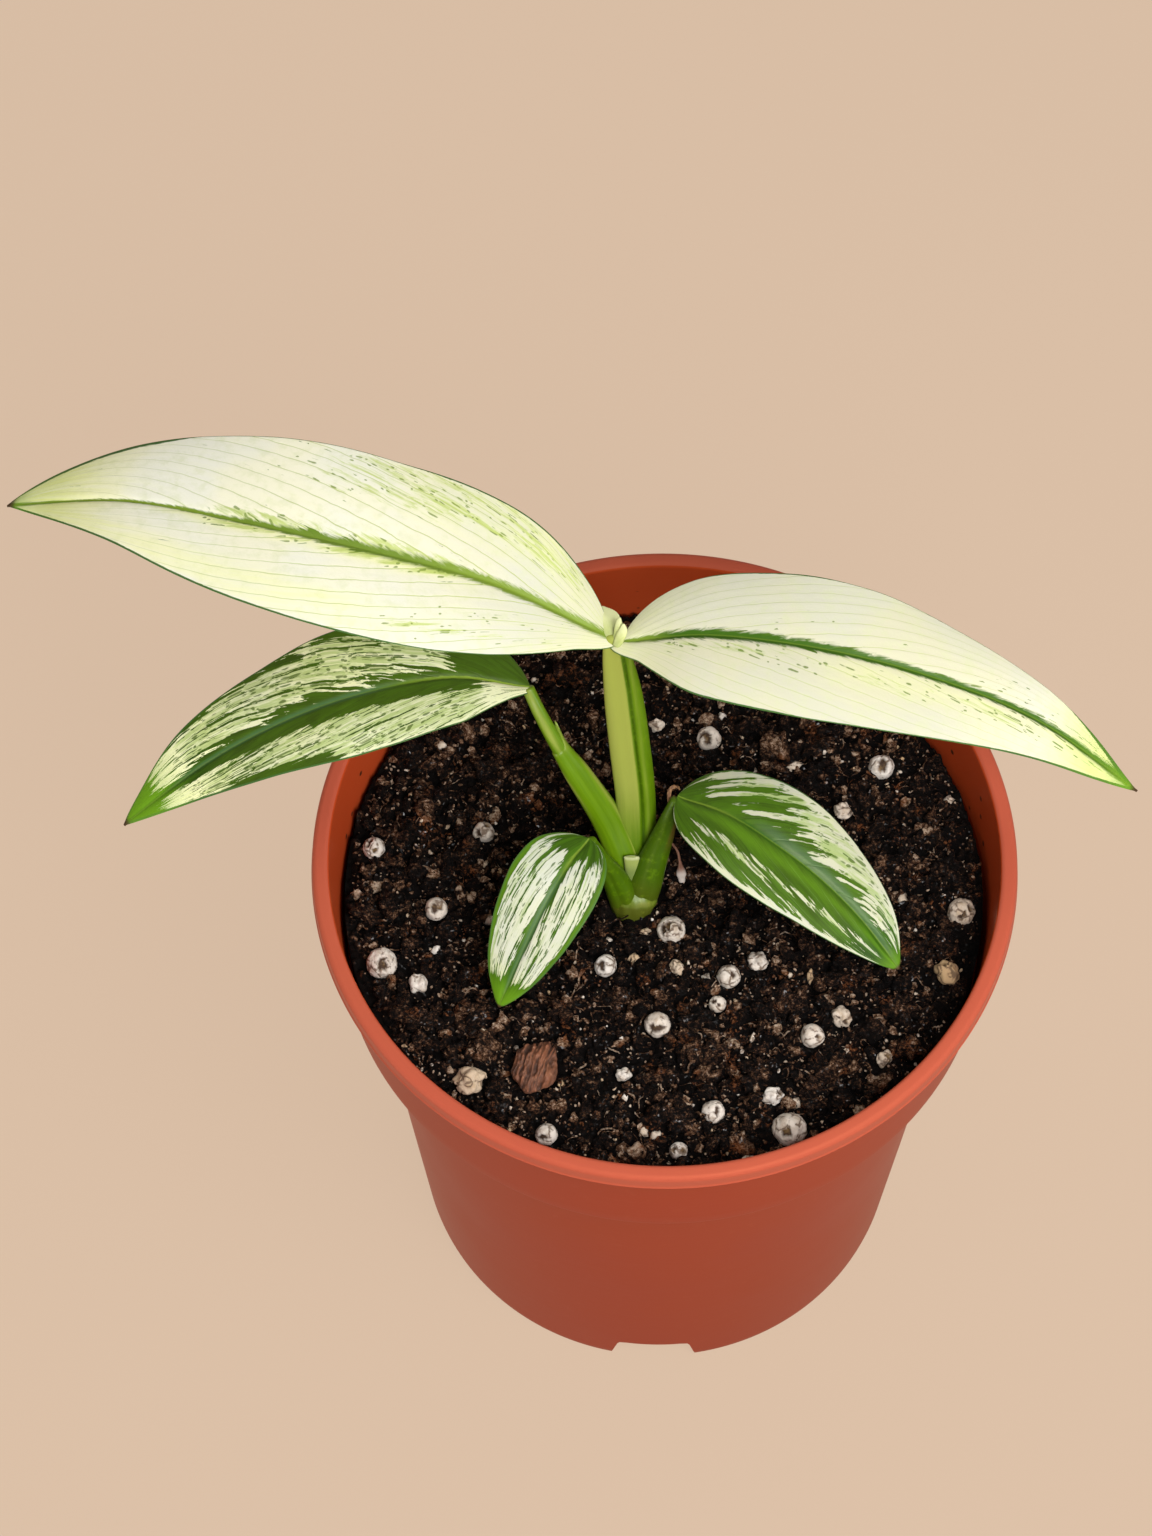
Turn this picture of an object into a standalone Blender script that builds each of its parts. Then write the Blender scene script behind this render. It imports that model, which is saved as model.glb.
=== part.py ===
"""A young variegated pothos in a plastic nursery pot.

The pot is turned about the Z axis and stands on the plane z = 0. The potting mix fills it, the crown is
rooted in the mix, and sheathed petioles rise from the crown and carry five blades. Loose perlite and bark
sit in hollows of the mix. Every piece is a separate closed solid, and pieces that touch keep a hairline gap.
"""

import math

import bmesh
import bpy
from mathutils import Matrix, Vector, noise

# Lengths are in millimetres here and become metres when a mesh is made.
MM = 0.001
GAP = 0.3

# Pot, turned about Z.
POT_HEIGHT = 117.0
RIM_RADIUS = 60.0
RIM_INNER_RADIUS = 57.1
LIP_HEIGHT = 3.6
LIP_ROUNDING = 1.0
COLLAR_HEIGHT = 27.4
COLLAR_TOP_RADIUS = 57.8
COLLAR_FOOT_RADIUS = 56.0
BODY_TOP_RADIUS = 51.3
BASE_RADIUS = 43.3
WALL = 1.2
# The ledge slopes over this height, and small edges are broken by this much.
LEDGE_RISE = 1.2
EDGE = 0.6
POT_SEGMENTS = 64

# Drainage: the floor stands on the ground but for a ring channel and straight channels out to notches in
# the wall, and round holes open into the ring channel.
FLOOR_THICKNESS = 1.5
NOTCH_COUNT = 4
NOTCH_WIDTH = 15.4
NOTCH_TOP_WIDTH = 12.0
NOTCH_HEIGHT = 7.2
NOTCH_ROUNDING = 1.2
# The first notch is turned to here about Z, in degrees.
NOTCH_TURN = -91.2
RING_HEIGHT = 7.7
RING_INNER_RADIUS = 15.0
RING_OUTER_RADIUS = 30.0
HOLE_RADIUS = 4.0
HOLE_COUNT = 8
# How far a cutter runs past the faces that it opens.
OVER = 2.0

# Potting mix.
SOIL_LEVEL = 104.0
SOIL_MOUND = 1.2
SOIL_RELIEF = 0.9
SOIL_SEGMENTS = 48
SOIL_RINGS = 10

LEAF_THICKNESS = 0.8
LEAF_TIP_WIDTH = 0.9
LEAF_STATIONS = 16
LEAF_ACROSS = 6
# Each half of a blade leaves the midrib at the fold angle and turns by the curl on its way to the margin.
LEAF_FOLD = 8.0
LEAF_CURL = -16.0

GREEN = (0.10, 0.26, 0.03)
PALE_GREEN = (0.42, 0.48, 0.13)
CREAM = (0.80, 0.82, 0.55)
TERRACOTTA = (0.42, 0.085, 0.035)


def remove_everything():
    for obj in list(bpy.data.objects):
        bpy.data.objects.remove(obj)


def material(name, colour, roughness):
    """A Principled material of one colour, made once for each name."""
    mat = bpy.data.materials.get(name) or bpy.data.materials.new(name)
    mat.use_nodes = True
    shader = mat.node_tree.nodes["Principled BSDF"]
    shader.inputs["Base Color"].default_value = (*colour, 1.0)
    shader.inputs["Roughness"].default_value = roughness
    shader.inputs["Metallic"].default_value = 0.0
    return mat


def add_object(name, points, faces, mat=None, smooth_angle=50.0):
    """A mesh object from points in millimetres."""
    mesh = bpy.data.meshes.new(name)
    mesh.from_pydata([Vector(p) * MM for p in points], [], faces)
    bm = bmesh.new()
    bm.from_mesh(mesh)
    bmesh.ops.recalc_face_normals(bm, faces=bm.faces)
    bm.to_mesh(mesh)
    bm.free()
    mesh.shade_smooth()
    mesh.set_sharp_from_angle(angle=math.radians(smooth_angle))
    obj = bpy.data.objects.new(name, mesh)
    bpy.context.scene.collection.objects.link(obj)
    if mat:
        mesh.materials.append(mat)
    return obj


def add_cutter(name, points, faces):
    obj = add_object(name, points, faces)
    obj.hide_render = True
    obj.display_type = "WIRE"
    return obj


def cut(obj, cutter):
    """Takes a cutter away from a solid with an exact Boolean."""
    boolean = obj.modifiers.new(cutter.name, "BOOLEAN")
    boolean.operation = "DIFFERENCE"
    boolean.solver = "EXACT"
    boolean.object = cutter


def band(first, second, count):
    """Faces between two rings of count points that start at these indices."""
    turns = [(k, (k + 1) % count) for k in range(count)]
    return [(first + k, first + k2, second + k2, second + k) for k, k2 in turns]


def loft(rings):
    """Points and faces of a closed solid through rings of equal length, with a fan over each end."""
    count = len(rings[0])
    points = [p for ring in rings for p in ring]
    faces = []
    for r in range(len(rings) - 1):
        faces += band(r * count, (r + 1) * count, count)
    for start, ring in ((0, rings[0]), (len(points) - count, rings[-1])):
        points.append(sum((Vector(p) for p in ring), Vector()) / count)
        faces += [(len(points) - 1, start + k, start + (k + 1) % count) for k in range(count)]
    return points, faces


def turned(profile, segments):
    """A solid turned about Z from (radius, height) points that run from the axis round to the axis.

    An end that is level with its neighbour becomes one flat face, and any other end a fan.
    """
    points, faces = [], []
    for radius, height in profile[1:-1]:
        for k in range(segments):
            angle = 2 * math.pi * k / segments
            points.append((radius * math.cos(angle), radius * math.sin(angle), height))
    rings = len(profile) - 2
    for r in range(rings - 1):
        faces += band(r * segments, (r + 1) * segments, segments)
    for ring, end, neighbour in ((0, profile[0], profile[1]), (rings - 1, profile[-1], profile[-2])):
        circle = [ring * segments + k for k in range(segments)]
        if end[1] == neighbour[1]:
            faces.append(circle)
            continue
        points.append((0.0, 0.0, end[1]))
        faces += [(len(points) - 1, a, b) for a, b in zip(circle, circle[1:] + circle[:1])]
    return points, faces


def arc(centre, radius, start, end, steps):
    """Points of an arc in the profile plane, with its angles in degrees."""
    angles = [math.radians(start + (end - start) * k / steps) for k in range(steps + 1)]
    return [(centre[0] + radius * math.cos(a), centre[1] + radius * math.sin(a)) for a in angles]


# ---------------------------------------------------------------- pot


COLLAR_FOOT = POT_HEIGHT - COLLAR_HEIGHT
CHANNEL_ROOF = RING_HEIGHT + FLOOR_THICKNESS
INNER_COLLAR_RADIUS = COLLAR_FOOT_RADIUS - WALL
INNER_BODY_RADIUS = BODY_TOP_RADIUS - WALL
INNER_BASE_RADIUS = BASE_RADIUS - WALL


def pot_outside():
    """Base, body, ledge, collar and rolled lip, from the ground up to the inner edge of the rim."""
    lip_centre = (RIM_RADIUS - LIP_ROUNDING, POT_HEIGHT - LIP_ROUNDING)
    return [
        (BASE_RADIUS - EDGE, 0.0),
        (BASE_RADIUS, EDGE),
        (BODY_TOP_RADIUS, COLLAR_FOOT - 2 * LEDGE_RISE),
        (BODY_TOP_RADIUS + EDGE, COLLAR_FOOT - LEDGE_RISE),
        (COLLAR_FOOT_RADIUS - EDGE, COLLAR_FOOT),
        (COLLAR_FOOT_RADIUS, COLLAR_FOOT + EDGE),
        (COLLAR_TOP_RADIUS, POT_HEIGHT - LIP_HEIGHT),
        (RIM_RADIUS - EDGE, POT_HEIGHT - LIP_HEIGHT),
        (RIM_RADIUS, POT_HEIGHT - LIP_HEIGHT + EDGE),
        *arc(lip_centre, LIP_ROUNDING, 0, 90, 4),
    ]


def pot_inside(gap=0.0):
    """The inner wall, from under the ledge down to the floor, drawn in by a gap."""
    return [
        (INNER_COLLAR_RADIUS - gap, COLLAR_FOOT + 2 * EDGE + gap),
        (INNER_COLLAR_RADIUS - EDGE - gap, COLLAR_FOOT + EDGE + gap),
        (INNER_BODY_RADIUS + EDGE - gap, COLLAR_FOOT - EDGE / 2 + gap),
        (INNER_BODY_RADIUS - gap, COLLAR_FOOT - 2 * EDGE + gap),
        (INNER_BASE_RADIUS + EDGE / 2 - gap, CHANNEL_ROOF + FLOOR_THICKNESS),
    ]


def channel_shape(name, wall, inner_end, outer_end, turn_degrees):
    """A trapezium bar along one straight channel, with a wall added to its sides and roof."""
    turn = Matrix.Rotation(math.radians(turn_degrees), 3, "Z")
    half, half_top = NOTCH_WIDTH / 2 + wall, NOTCH_TOP_WIDTH / 2 + wall
    top, soft = NOTCH_HEIGHT + wall, NOTCH_ROUNDING
    right = [(half, -OVER), (half, 0.0), (half_top + soft / 2, top - soft), (half_top - soft, top)]
    outline = right + [(-y, z) for y, z in reversed(right)]
    rings = [[turn @ Vector((reach, y, z)) for y, z in outline] for reach in (inner_end, outer_end)]
    return add_cutter(name, *loft(rings))


def ring_shape(name, wall):
    """The ring channel as a solid, with a wall added to its sides and roof."""
    inner, outer = RING_INNER_RADIUS - wall, RING_OUTER_RADIUS + wall
    top = RING_HEIGHT + wall
    outline = [(inner - EDGE, -OVER), (inner + EDGE, top), (outer - EDGE, top), (outer + EDGE, -OVER)]
    points, faces = [], []
    count = len(outline)
    for k in range(POT_SEGMENTS):
        angle = 2 * math.pi * (k + 0.5) / POT_SEGMENTS
        points += [(r * math.cos(angle), r * math.sin(angle), z) for r, z in outline]
        faces += band(k * count, (k + 1) % POT_SEGMENTS * count, count)
    return add_cutter(name, points, faces)


def hole_cutter(name, radius, turn_degrees):
    """A round drill through the roof of the ring channel."""
    turn = Matrix.Rotation(math.radians(turn_degrees), 3, "Z")
    angles = [2 * math.pi * (k + 0.5) / 20 for k in range(20)]
    circle = [(radius + HOLE_RADIUS * math.cos(a), HOLE_RADIUS * math.sin(a)) for a in angles]
    rings = [[turn @ Vector((x, y, z)) for x, y in circle] for z in (RING_HEIGHT - OVER, CHANNEL_ROOF + OVER)]
    return add_cutter(name, *loft(rings))


def make_pot():
    """The outside turned as a solid, hollowed by a cavity that stands clear of the raised channels."""
    outside = [(0.0, 0.0), *pot_outside(), (0.0, POT_HEIGHT)]
    pot = add_object("pot", *turned(outside, POT_SEGMENTS), material("terracotta_plastic", TERRACOTTA, 0.45))

    flare = [(0.0, POT_HEIGHT + OVER), (RIM_INNER_RADIUS + EDGE + OVER, POT_HEIGHT + OVER),
             (RIM_INNER_RADIUS, POT_HEIGHT - EDGE)]
    corner = (INNER_BASE_RADIUS - 2 * EDGE, FLOOR_THICKNESS)
    cavity_profile = [*flare, *pot_inside(), corner, (0.0, FLOOR_THICKNESS)]
    cavity = add_cutter("cavity_cutter", *turned(cavity_profile, POT_SEGMENTS))
    cut(cavity, ring_shape("ring_roof", FLOOR_THICKNESS))
    turns = [NOTCH_TURN + 360 * k / NOTCH_COUNT for k in range(NOTCH_COUNT)]
    middle = (RING_INNER_RADIUS + RING_OUTER_RADIUS) / 2
    for k, turn in enumerate(turns, 1):
        cut(cavity, channel_shape(f"channel_roof_{k}", FLOOR_THICKNESS, middle, BASE_RADIUS + OVER, turn))
    cut(pot, cavity)
    cut(pot, ring_shape("ring_channel", 0.0))
    for k, turn in enumerate(turns, 1):
        cut(pot, channel_shape(f"channel_{k}", 0.0, middle, BASE_RADIUS + 2 * OVER, turn))
    for k in range(HOLE_COUNT):
        cut(pot, hole_cutter(f"hole_cutter_{k + 1}", middle, 360 * k / HOLE_COUNT))
    return pot


# ---------------------------------------------------------------- curves and sweeps


def through(stations, t):
    """A smooth curve through a list of vectors or numbers, at t from 0 to 1 (Catmull-Rom)."""
    spans = len(stations) - 1
    place = min(max(t, 0.0), 1.0) * spans
    k = min(int(place), spans - 1)
    u = place - k
    p1, p2 = stations[k], stations[k + 1]
    p0 = stations[k - 1] if k > 0 else p1 + (p1 - p2)
    p3 = stations[k + 2] if k + 2 <= spans else p2 + (p2 - p1)
    return (
        p1 * 2 + (p2 - p0) * u + (p0 * 2 - p1 * 5 + p2 * 4 - p3) * u * u
        + (p1 * 3 - p0 - p2 * 3 + p3) * u * u * u
    ) * 0.5


def frame_at(spine, t, roll=0.0):
    """Point, tangent, leftward side and upward normal of a spine, rolled about the tangent in degrees."""
    step = 0.01
    tangent = (through(spine, min(t + step, 1.0)) - through(spine, max(t - step, 0.0))).normalized()
    side = Vector((0.0, 0.0, 1.0)).cross(tangent).normalized()
    side.rotate(Matrix.Rotation(math.radians(roll), 3, tangent))
    return through(spine, t), tangent, side, tangent.cross(side).normalized()


def petiole_rings(spec, grow=0.0, sides=14, stations=14):
    """Rings of an oval stalk along its spine, swollen by grow all round."""
    spine = [Vector(p) for p in spec["spine"]]
    rings = []
    for k in range(stations + 1):
        t = k / stations
        point, tangent, _, _ = frame_at(spine, t)
        wide = Vector(spec["wide_axis"])
        wide = (wide - tangent * wide.dot(tangent)).normalized()
        deep = tangent.cross(wide)
        half_wide = through(spec["width"], t) / 2 + grow
        half_deep = through(spec["depth"], t) / 2 + grow
        if k in (0, stations):
            point = point + tangent * (grow if k else -grow)
        ring = []
        for j in range(sides):
            a = 2 * math.pi * j / sides
            ring.append(point + wide * (half_wide * math.cos(a)) + deep * (half_deep * math.sin(a)))
        rings.append(ring)
    return rings


# Each stalk starts inside the crown, and the crown and the stalks named before it are cut from its foot.
PETIOLES = {
    # The pale flat stalk of the two top blades.
    "petiole_top": dict(
        spine=[(-4.6, 2.6, 108.0), (-4.9, 9.2, 120.0), (-6.1, 13.0, 134.0), (-7.3, 15.8, 147.0),
               (-8.8, 18.2, 160.2)],
        width=[6.4, 6.8, 6.9, 6.6, 5.2], depth=[4.4, 3.8, 3.4, 3.0, 2.6], wide_axis=(1.0, 0.1, 0.1)),
    # The stalk of the middle left blade: broad while it is sheathed, slim above the sheath's end.
    "petiole_left": dict(
        spine=[(-6.2, 1.6, 108.0), (-8.2, 5.6, 114.0), (-13.6, 10.4, 124.0), (-18.4, 14.0, 132.0),
               (-21.2, 17.0, 137.0), (-23.2, 20.0, 140.4)],
        width=[4.8, 5.0, 4.6, 3.8, 2.6, 2.2], depth=[4.2, 4.2, 3.6, 3.2, 2.4, 2.2],
        wide_axis=(1.0, 0.6, 0.6)),
    "petiole_right": dict(
        spine=[(-3.6, -0.4, 107.6), (-2.0, 1.4, 112.0), (-0.5, 3.6, 117.0), (0.9, 5.5, 121.2),
               (2.2, 7.2, 124.4)],
        width=[4.6, 4.6, 4.0, 3.0, 2.4], depth=[4.0, 3.8, 3.2, 2.6, 2.2], wide_axis=(1.0, 0.0, 0.0)),
    "petiole_front": dict(
        spine=[(-7.2, -1.7, 108.6), (-9.0, -0.9, 112.5), (-10.9, -0.2, 117.0), (-12.8, 0.8, 121.6)],
        width=[4.2, 3.7, 2.9, 2.2], depth=[3.6, 3.2, 2.6, 2.0], wide_axis=(0.8, 0.0, 0.6)),
}

# The crown: a stout stub rooted in the mix, widest where the stalks part.
CROWN = dict(
    spine=[(-5.6, -5.2, 86.0), (-5.6, -5.1, 95.0), (-5.6, -4.6, 104.0), (-5.5, -2.4, 108.0),
           (-5.3, 0.2, 111.6)],
    width=[4.6, 5.2, 6.4, 9.0, 8.6], depth=[4.4, 5.0, 5.8, 6.2, 4.6], wide_axis=(1.0, 0.0, 0.0))

# Small round growths: the folded bud between the top blades, the dry curl of an old sheath, a thin root.
BUD = dict(
    spine=[(-9.0, 18.6, 160.6), (-8.7, 19.6, 162.6), (-8.3, 20.6, 164.4)],
    width=[3.0, 3.4, 1.6], depth=[2.2, 2.2, 1.2], wide_axis=(1.0, -0.3, 0.0))
DRY_CURL = dict(
    spine=[(0.3, 5.6, 122.0), (-0.3, 7.2, 123.8), (0.1, 8.6, 125.2), (1.3, 8.8, 125.4), (1.9, 7.9, 126.4)],
    width=[0.9, 0.9, 0.8, 0.8, 0.7], depth=[0.6, 0.6, 0.6, 0.6, 0.6], wide_axis=(1.0, 0.0, 0.0))
THIN_ROOT = dict(
    spine=[(-1.2, 0.2, 112.0), (1.4, 2.2, 111.0), (2.6, 1.0, 108.4), (2.8, -0.6, 105.6), (2.9, -1.6, 102.4)],
    width=[0.8, 0.8, 0.8, 0.8, 0.8], depth=[0.8, 0.8, 0.8, 0.8, 0.8], wide_axis=(1.0, 0.0, 0.0))


# ---------------------------------------------------------------- blades


LEAVES = {
    "leaf_top_left": dict(
        stalk="petiole_top",
        spine=[(-9.9, 18.8, 160.2), (-28.6, 24.3, 168.0), (-48.8, 28.2, 172.2), (-70.0, 33.5, 172.5),
               (-90.0, 39.5, 169.0), (-110.0, 43.8, 160.0)],
        left=16.6, right=18.5, base_left=0.72, base_right=0.62, tip_left=1.1, tip_right=0.78, roll=3.0),
    "leaf_top_right": dict(
        stalk="petiole_top",
        spine=[(-7.4, 17.7, 160.2), (6.6, 15.8, 166.0), (25.0, 11.9, 168.4), (43.0, 8.3, 165.4),
               (61.0, 4.7, 156.9), (78.0, -1.0, 143.0)],
        left=12.9, right=13.2, base_left=0.56, base_right=0.6, tip_left=1.02, tip_right=0.95, roll=0.0),
    "leaf_left": dict(
        stalk="petiole_left",
        spine=[(-22.9, 20.0, 140.4), (-35.8, 19.5, 144.9), (-50.0, 16.4, 145.4), (-63.6, 13.0, 141.8),
               (-77.5, 8.2, 135.2), (-91.2, 0.9, 127.0)],
        left=11.0, right=12.6, base_left=0.72, base_right=0.6, tip_left=1.0, tip_right=0.82, roll=0.0),
    "leaf_right": dict(
        stalk="petiole_right",
        spine=[(2.2, 7.6, 124.6), (10.4, 3.2, 126.8), (18.6, -2.2, 126.0), (26.6, -7.3, 122.4),
               (33.6, -12.9, 117.8), (39.5, -19.0, 112.5)],
        left=10.5, right=10.3, base_left=0.5, base_right=0.5, tip_left=0.8, tip_right=0.8, roll=0.0),
    "leaf_front": dict(
        stalk="petiole_front",
        spine=[(-12.9, 0.9, 121.8), (-16.0, -4.0, 123.2), (-19.2, -9.3, 122.0), (-22.4, -14.6, 118.6),
               (-25.6, -20.0, 113.9), (-28.1, -24.6, 109.4)],
        left=8.4, right=8.4, base_left=0.5, base_right=0.5, tip_left=0.8, tip_right=0.8, roll=0.0),
}


def half_width(t, widest, base, tip):
    """Half the blade's width at t: it swells as a power of t, and narrows to the tip as another."""
    peak = base / (base + tip)
    return widest * (t / peak) ** base * ((1 - t) / (1 - peak)) ** tip


def blade_point(spec, t, s, lift=0.0):
    """A point of a blade at t along it and s across it, from -1 at the right margin to 1 at the left."""
    spine = [Vector(p) for p in spec["spine"]]
    point, _, side, up = frame_at(spine, t, spec["roll"])
    hand = "left" if s > 0 else "right"
    widest, base, tip = spec[hand], spec["base_" + hand], spec["tip_" + hand]
    width = max(half_width(min(max(t, 0.001), 0.999), widest, base, tip), LEAF_TIP_WIDTH / 2)
    start, bend = math.radians(LEAF_FOLD), math.radians(LEAF_CURL)
    u = abs(s)
    across = width * (math.sin(start + bend * u) - math.sin(start)) / bend
    above = width * (math.cos(start) - math.cos(start + bend * u)) / bend
    slope = start + bend * u
    normal = up * math.cos(slope) - side * math.copysign(math.sin(slope), s)
    return point + side * math.copysign(across, s) + up * above + normal * lift


def blade_rings(spec):
    """Closed cross-sections of a blade of even thickness, from its base to its tip."""
    half = LEAF_THICKNESS / 2
    across = [-1 + 2 * j / LEAF_ACROSS for j in range(LEAF_ACROSS + 1)]
    rings = []
    for k in range(LEAF_STATIONS + 1):
        t = k / LEAF_STATIONS
        top = [blade_point(spec, t, s, half) for s in across]
        bottom = [blade_point(spec, t, s, -half) for s in reversed(across)]
        rings.append(top + bottom)
    return rings


# ---------------------------------------------------------------- plant


def stalk(name, spec, mat, sides=14, stations=14):
    return add_object(name, *loft(petiole_rings(spec, 0.0, sides, stations)), mat)


def grown_cutter(name, spec, sides=14, stations=14):
    """The same stalk swollen by the seating gap, to cut its seat in a neighbour."""
    return add_cutter(name, *loft(petiole_rings(spec, GAP, sides, stations)))


def make_plant():
    """Crown, stalks, blades and small growths. Gives the cutters that clear the mix round them."""
    green = material("petiole_green", GREEN, 0.45)
    pale = material("petiole_pale", PALE_GREEN, 0.45)
    blade = material("leaf_variegated", CREAM, 0.4)
    dry = material("dry_husk", (0.22, 0.10, 0.035), 0.75)

    stalk("crown", CROWN, green)
    crown_seat = grown_cutter("crown_seat", CROWN)
    seats = {}
    for name, spec in PETIOLES.items():
        piece = stalk(name, spec, pale if name == "petiole_top" else green)
        cut(piece, crown_seat)
        for earlier in seats.values():
            cut(piece, earlier)
        seats[name] = grown_cutter(name + "_seat", spec)

    bud = stalk("bud", BUD, pale, 10, 6)
    cut(bud, seats["petiole_top"])
    bud_seat = grown_cutter("bud_seat", BUD, 10, 6)
    for name, spec in LEAVES.items():
        leaf = add_object(name, *loft(blade_rings(spec)), blade)
        cut(leaf, seats[spec["stalk"]])
        cut(leaf, bud_seat)
    curl = stalk("dry_curl", DRY_CURL, dry, 8, 12)
    cut(curl, seats["petiole_right"])
    root = stalk("thin_root", THIN_ROOT, dry, 8, 10)
    for seat in (crown_seat, seats["petiole_right"], seats["petiole_top"]):
        cut(root, seat)
    return [crown_seat, grown_cutter("thin_root_seat", THIN_ROOT, 8, 10)]


# ---------------------------------------------------------------- potting mix


# Loose grains of perlite as (x, y, radius): where each lies in the mix.
PERLITE = [
    (-50, 8, 2.1), (-31, 11, 2.1), (-39, -4, 2.2), (-48, -14, 2.9), (-42, -18, 1.9), (8, 29, 2.2),
    (-1, 32, 1.4), (38, 24, 2.4), (31, 15, 1.6), (1, -8, 2.5), (-10, -15, 2.2), (11, -17, 2.2),
    (16, -14, 2.0), (2, -15, 1.5), (-1, -26, 2.4), (9, -22, 1.6), (25, -28, 2.2), (30, -24, 2.0),
    (37, -32, 1.7), (51, -4, 2.5), (48, -16, 2.5), (-33, -36, 2.8), (-20, -46, 2.2), (-7, -35, 1.4),
    (8, -42, 2.2), (21, -45, 3.1), (2, -49, 1.7), (18, -39, 2.0),
]
# Share of a grain's radius that its middle stands above the mix.
GRAIN_RISE = 0.15
# The one large chip of bark: where it lies, its half length, and its thickness to its length.
BARK_PLACE = (-22, -34)
BARK_RADIUS = 4.2
BARK_FLATNESS = 0.45
BARK_RISE = 0.4


def soil_height(x, y):
    """Height of the mix: a slight mound with soft hollows, level where it meets the wall."""
    reach = min(math.hypot(x, y) / INNER_COLLAR_RADIUS, 1.0)
    relief = noise.noise(Vector((x, y, 7.0)) / 9.0) + 0.5 * noise.noise(Vector((x, y, 3.0)) / 4.0)
    return SOIL_LEVEL + SOIL_MOUND * (1 - reach ** 2) + SOIL_RELIEF * relief * (1 - reach ** 6)


def make_soil():
    """The mix: relief on top, walls a gap inside the pot, and a flat underside over the raised channels."""
    wall_slope = (RIM_INNER_RADIUS - INNER_COLLAR_RADIUS) / (POT_HEIGHT - COLLAR_FOOT)
    edge = INNER_COLLAR_RADIUS + wall_slope * (SOIL_LEVEL - COLLAR_FOOT) - GAP - 0.2
    profile = [(0.0, soil_height(0.0, 0.0))]
    profile += [(edge * (k + 1) / SOIL_RINGS, SOIL_LEVEL) for k in range(SOIL_RINGS)]
    profile += pot_inside(GAP)
    bottom = CHANNEL_ROOF + GAP
    profile += [(INNER_BASE_RADIUS - 1.0, bottom), (0.0, bottom)]
    points, faces = turned(profile, SOIL_SEGMENTS)
    top_count = SOIL_RINGS * SOIL_SEGMENTS
    points = [(x, y, soil_height(x, y)) if i < top_count else (x, y, z) for i, (x, y, z) in enumerate(points)]
    return add_object("soil", points, faces, material("potting_mix", (0.035, 0.022, 0.015), 0.95), 40.0)


def lump(radius, seed, roughness, squash=1.0, divisions=1):
    """Points and faces of an uneven grain about the origin."""
    bm = bmesh.new()
    bmesh.ops.create_icosphere(bm, subdivisions=divisions, radius=1.0)
    points = []
    for vert in bm.verts:
        swell = 1 + roughness * noise.noise(vert.co * 1.4 + Vector((seed * 3.7, seed * 1.3, 0.0)))
        points.append(Vector((vert.co.x, vert.co.y, vert.co.z * squash)) * radius * swell)
    faces = [[v.index for v in face.verts] for face in bm.faces]
    bm.free()
    return points, faces


def make_grain(name, place, shape, grown_shape, mat, soil):
    """A grain in a hollow of its own in the mix."""
    points, faces = shape
    add_object(name, [p + place for p in points], faces, mat)
    points, faces = grown_shape
    cut(soil, add_cutter(name + "_seat", [p + place for p in points], faces))


def make_loose_pieces(soil):
    white = material("perlite", (0.78, 0.76, 0.72), 0.9)
    brown = material("bark", (0.13, 0.055, 0.025), 0.85)
    for k, (x, y, radius) in enumerate(PERLITE, 1):
        place = Vector((x, y, soil_height(x, y) + GRAIN_RISE * radius))
        shapes = [lump(r, k, 0.25, 0.9) for r in (radius, radius + GAP)]
        make_grain(f"perlite_{k:02d}", place, *shapes, white, soil)
    place = Vector((*BARK_PLACE, soil_height(*BARK_PLACE) + BARK_RISE))
    shapes = [lump(r, 41, 0.5, BARK_FLATNESS, 2) for r in (BARK_RADIUS, BARK_RADIUS + 2 * GAP)]
    make_grain("bark_chip", place, *shapes, brown, soil)


if __name__ == "__main__":
    remove_everything()
    make_pot()
    mix = make_soil()
    for seat in make_plant():
        cut(mix, seat)
    make_loose_pieces(mix)
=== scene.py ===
"""Looks of a young variegated pothos in a plastic nursery pot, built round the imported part.

Lengths are millimetres in the part's own frame and become metres when a mesh is made.
"""

import math

import bmesh
import bpy
import numpy as np
from mathutils import Matrix, Vector, noise


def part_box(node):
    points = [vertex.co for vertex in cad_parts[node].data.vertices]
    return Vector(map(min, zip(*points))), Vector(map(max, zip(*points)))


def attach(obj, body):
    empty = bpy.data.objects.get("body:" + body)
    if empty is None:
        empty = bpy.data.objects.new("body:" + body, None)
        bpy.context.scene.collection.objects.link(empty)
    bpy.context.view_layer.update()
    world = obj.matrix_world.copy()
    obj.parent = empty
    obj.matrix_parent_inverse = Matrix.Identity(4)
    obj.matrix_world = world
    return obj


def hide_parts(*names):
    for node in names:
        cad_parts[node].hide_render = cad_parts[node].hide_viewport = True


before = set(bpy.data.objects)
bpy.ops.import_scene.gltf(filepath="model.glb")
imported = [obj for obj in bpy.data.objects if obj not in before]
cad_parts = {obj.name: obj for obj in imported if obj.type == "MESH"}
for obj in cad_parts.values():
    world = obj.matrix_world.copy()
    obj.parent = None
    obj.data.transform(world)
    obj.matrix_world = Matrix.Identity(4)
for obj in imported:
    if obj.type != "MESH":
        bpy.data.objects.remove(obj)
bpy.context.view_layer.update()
MM = 0.001

# ---------------------------------------------------------------- camera, light, floor

RIM_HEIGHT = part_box("pot")[1].z / MM
CAMERA_ELEVATION = 62.0
CAMERA_DISTANCE = 1000.0
# The view's middle, from the middle of the rim: along X, and up the picture.
VIEW_ACROSS = -15.08
VIEW_UP = 15.12
LENS = 137.9
SENSOR = 36.0


def add_object(name, data):
    """Links a new object to the scene."""
    obj = bpy.data.objects.new(name, data)
    bpy.context.scene.collection.objects.link(obj)
    return obj


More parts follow.
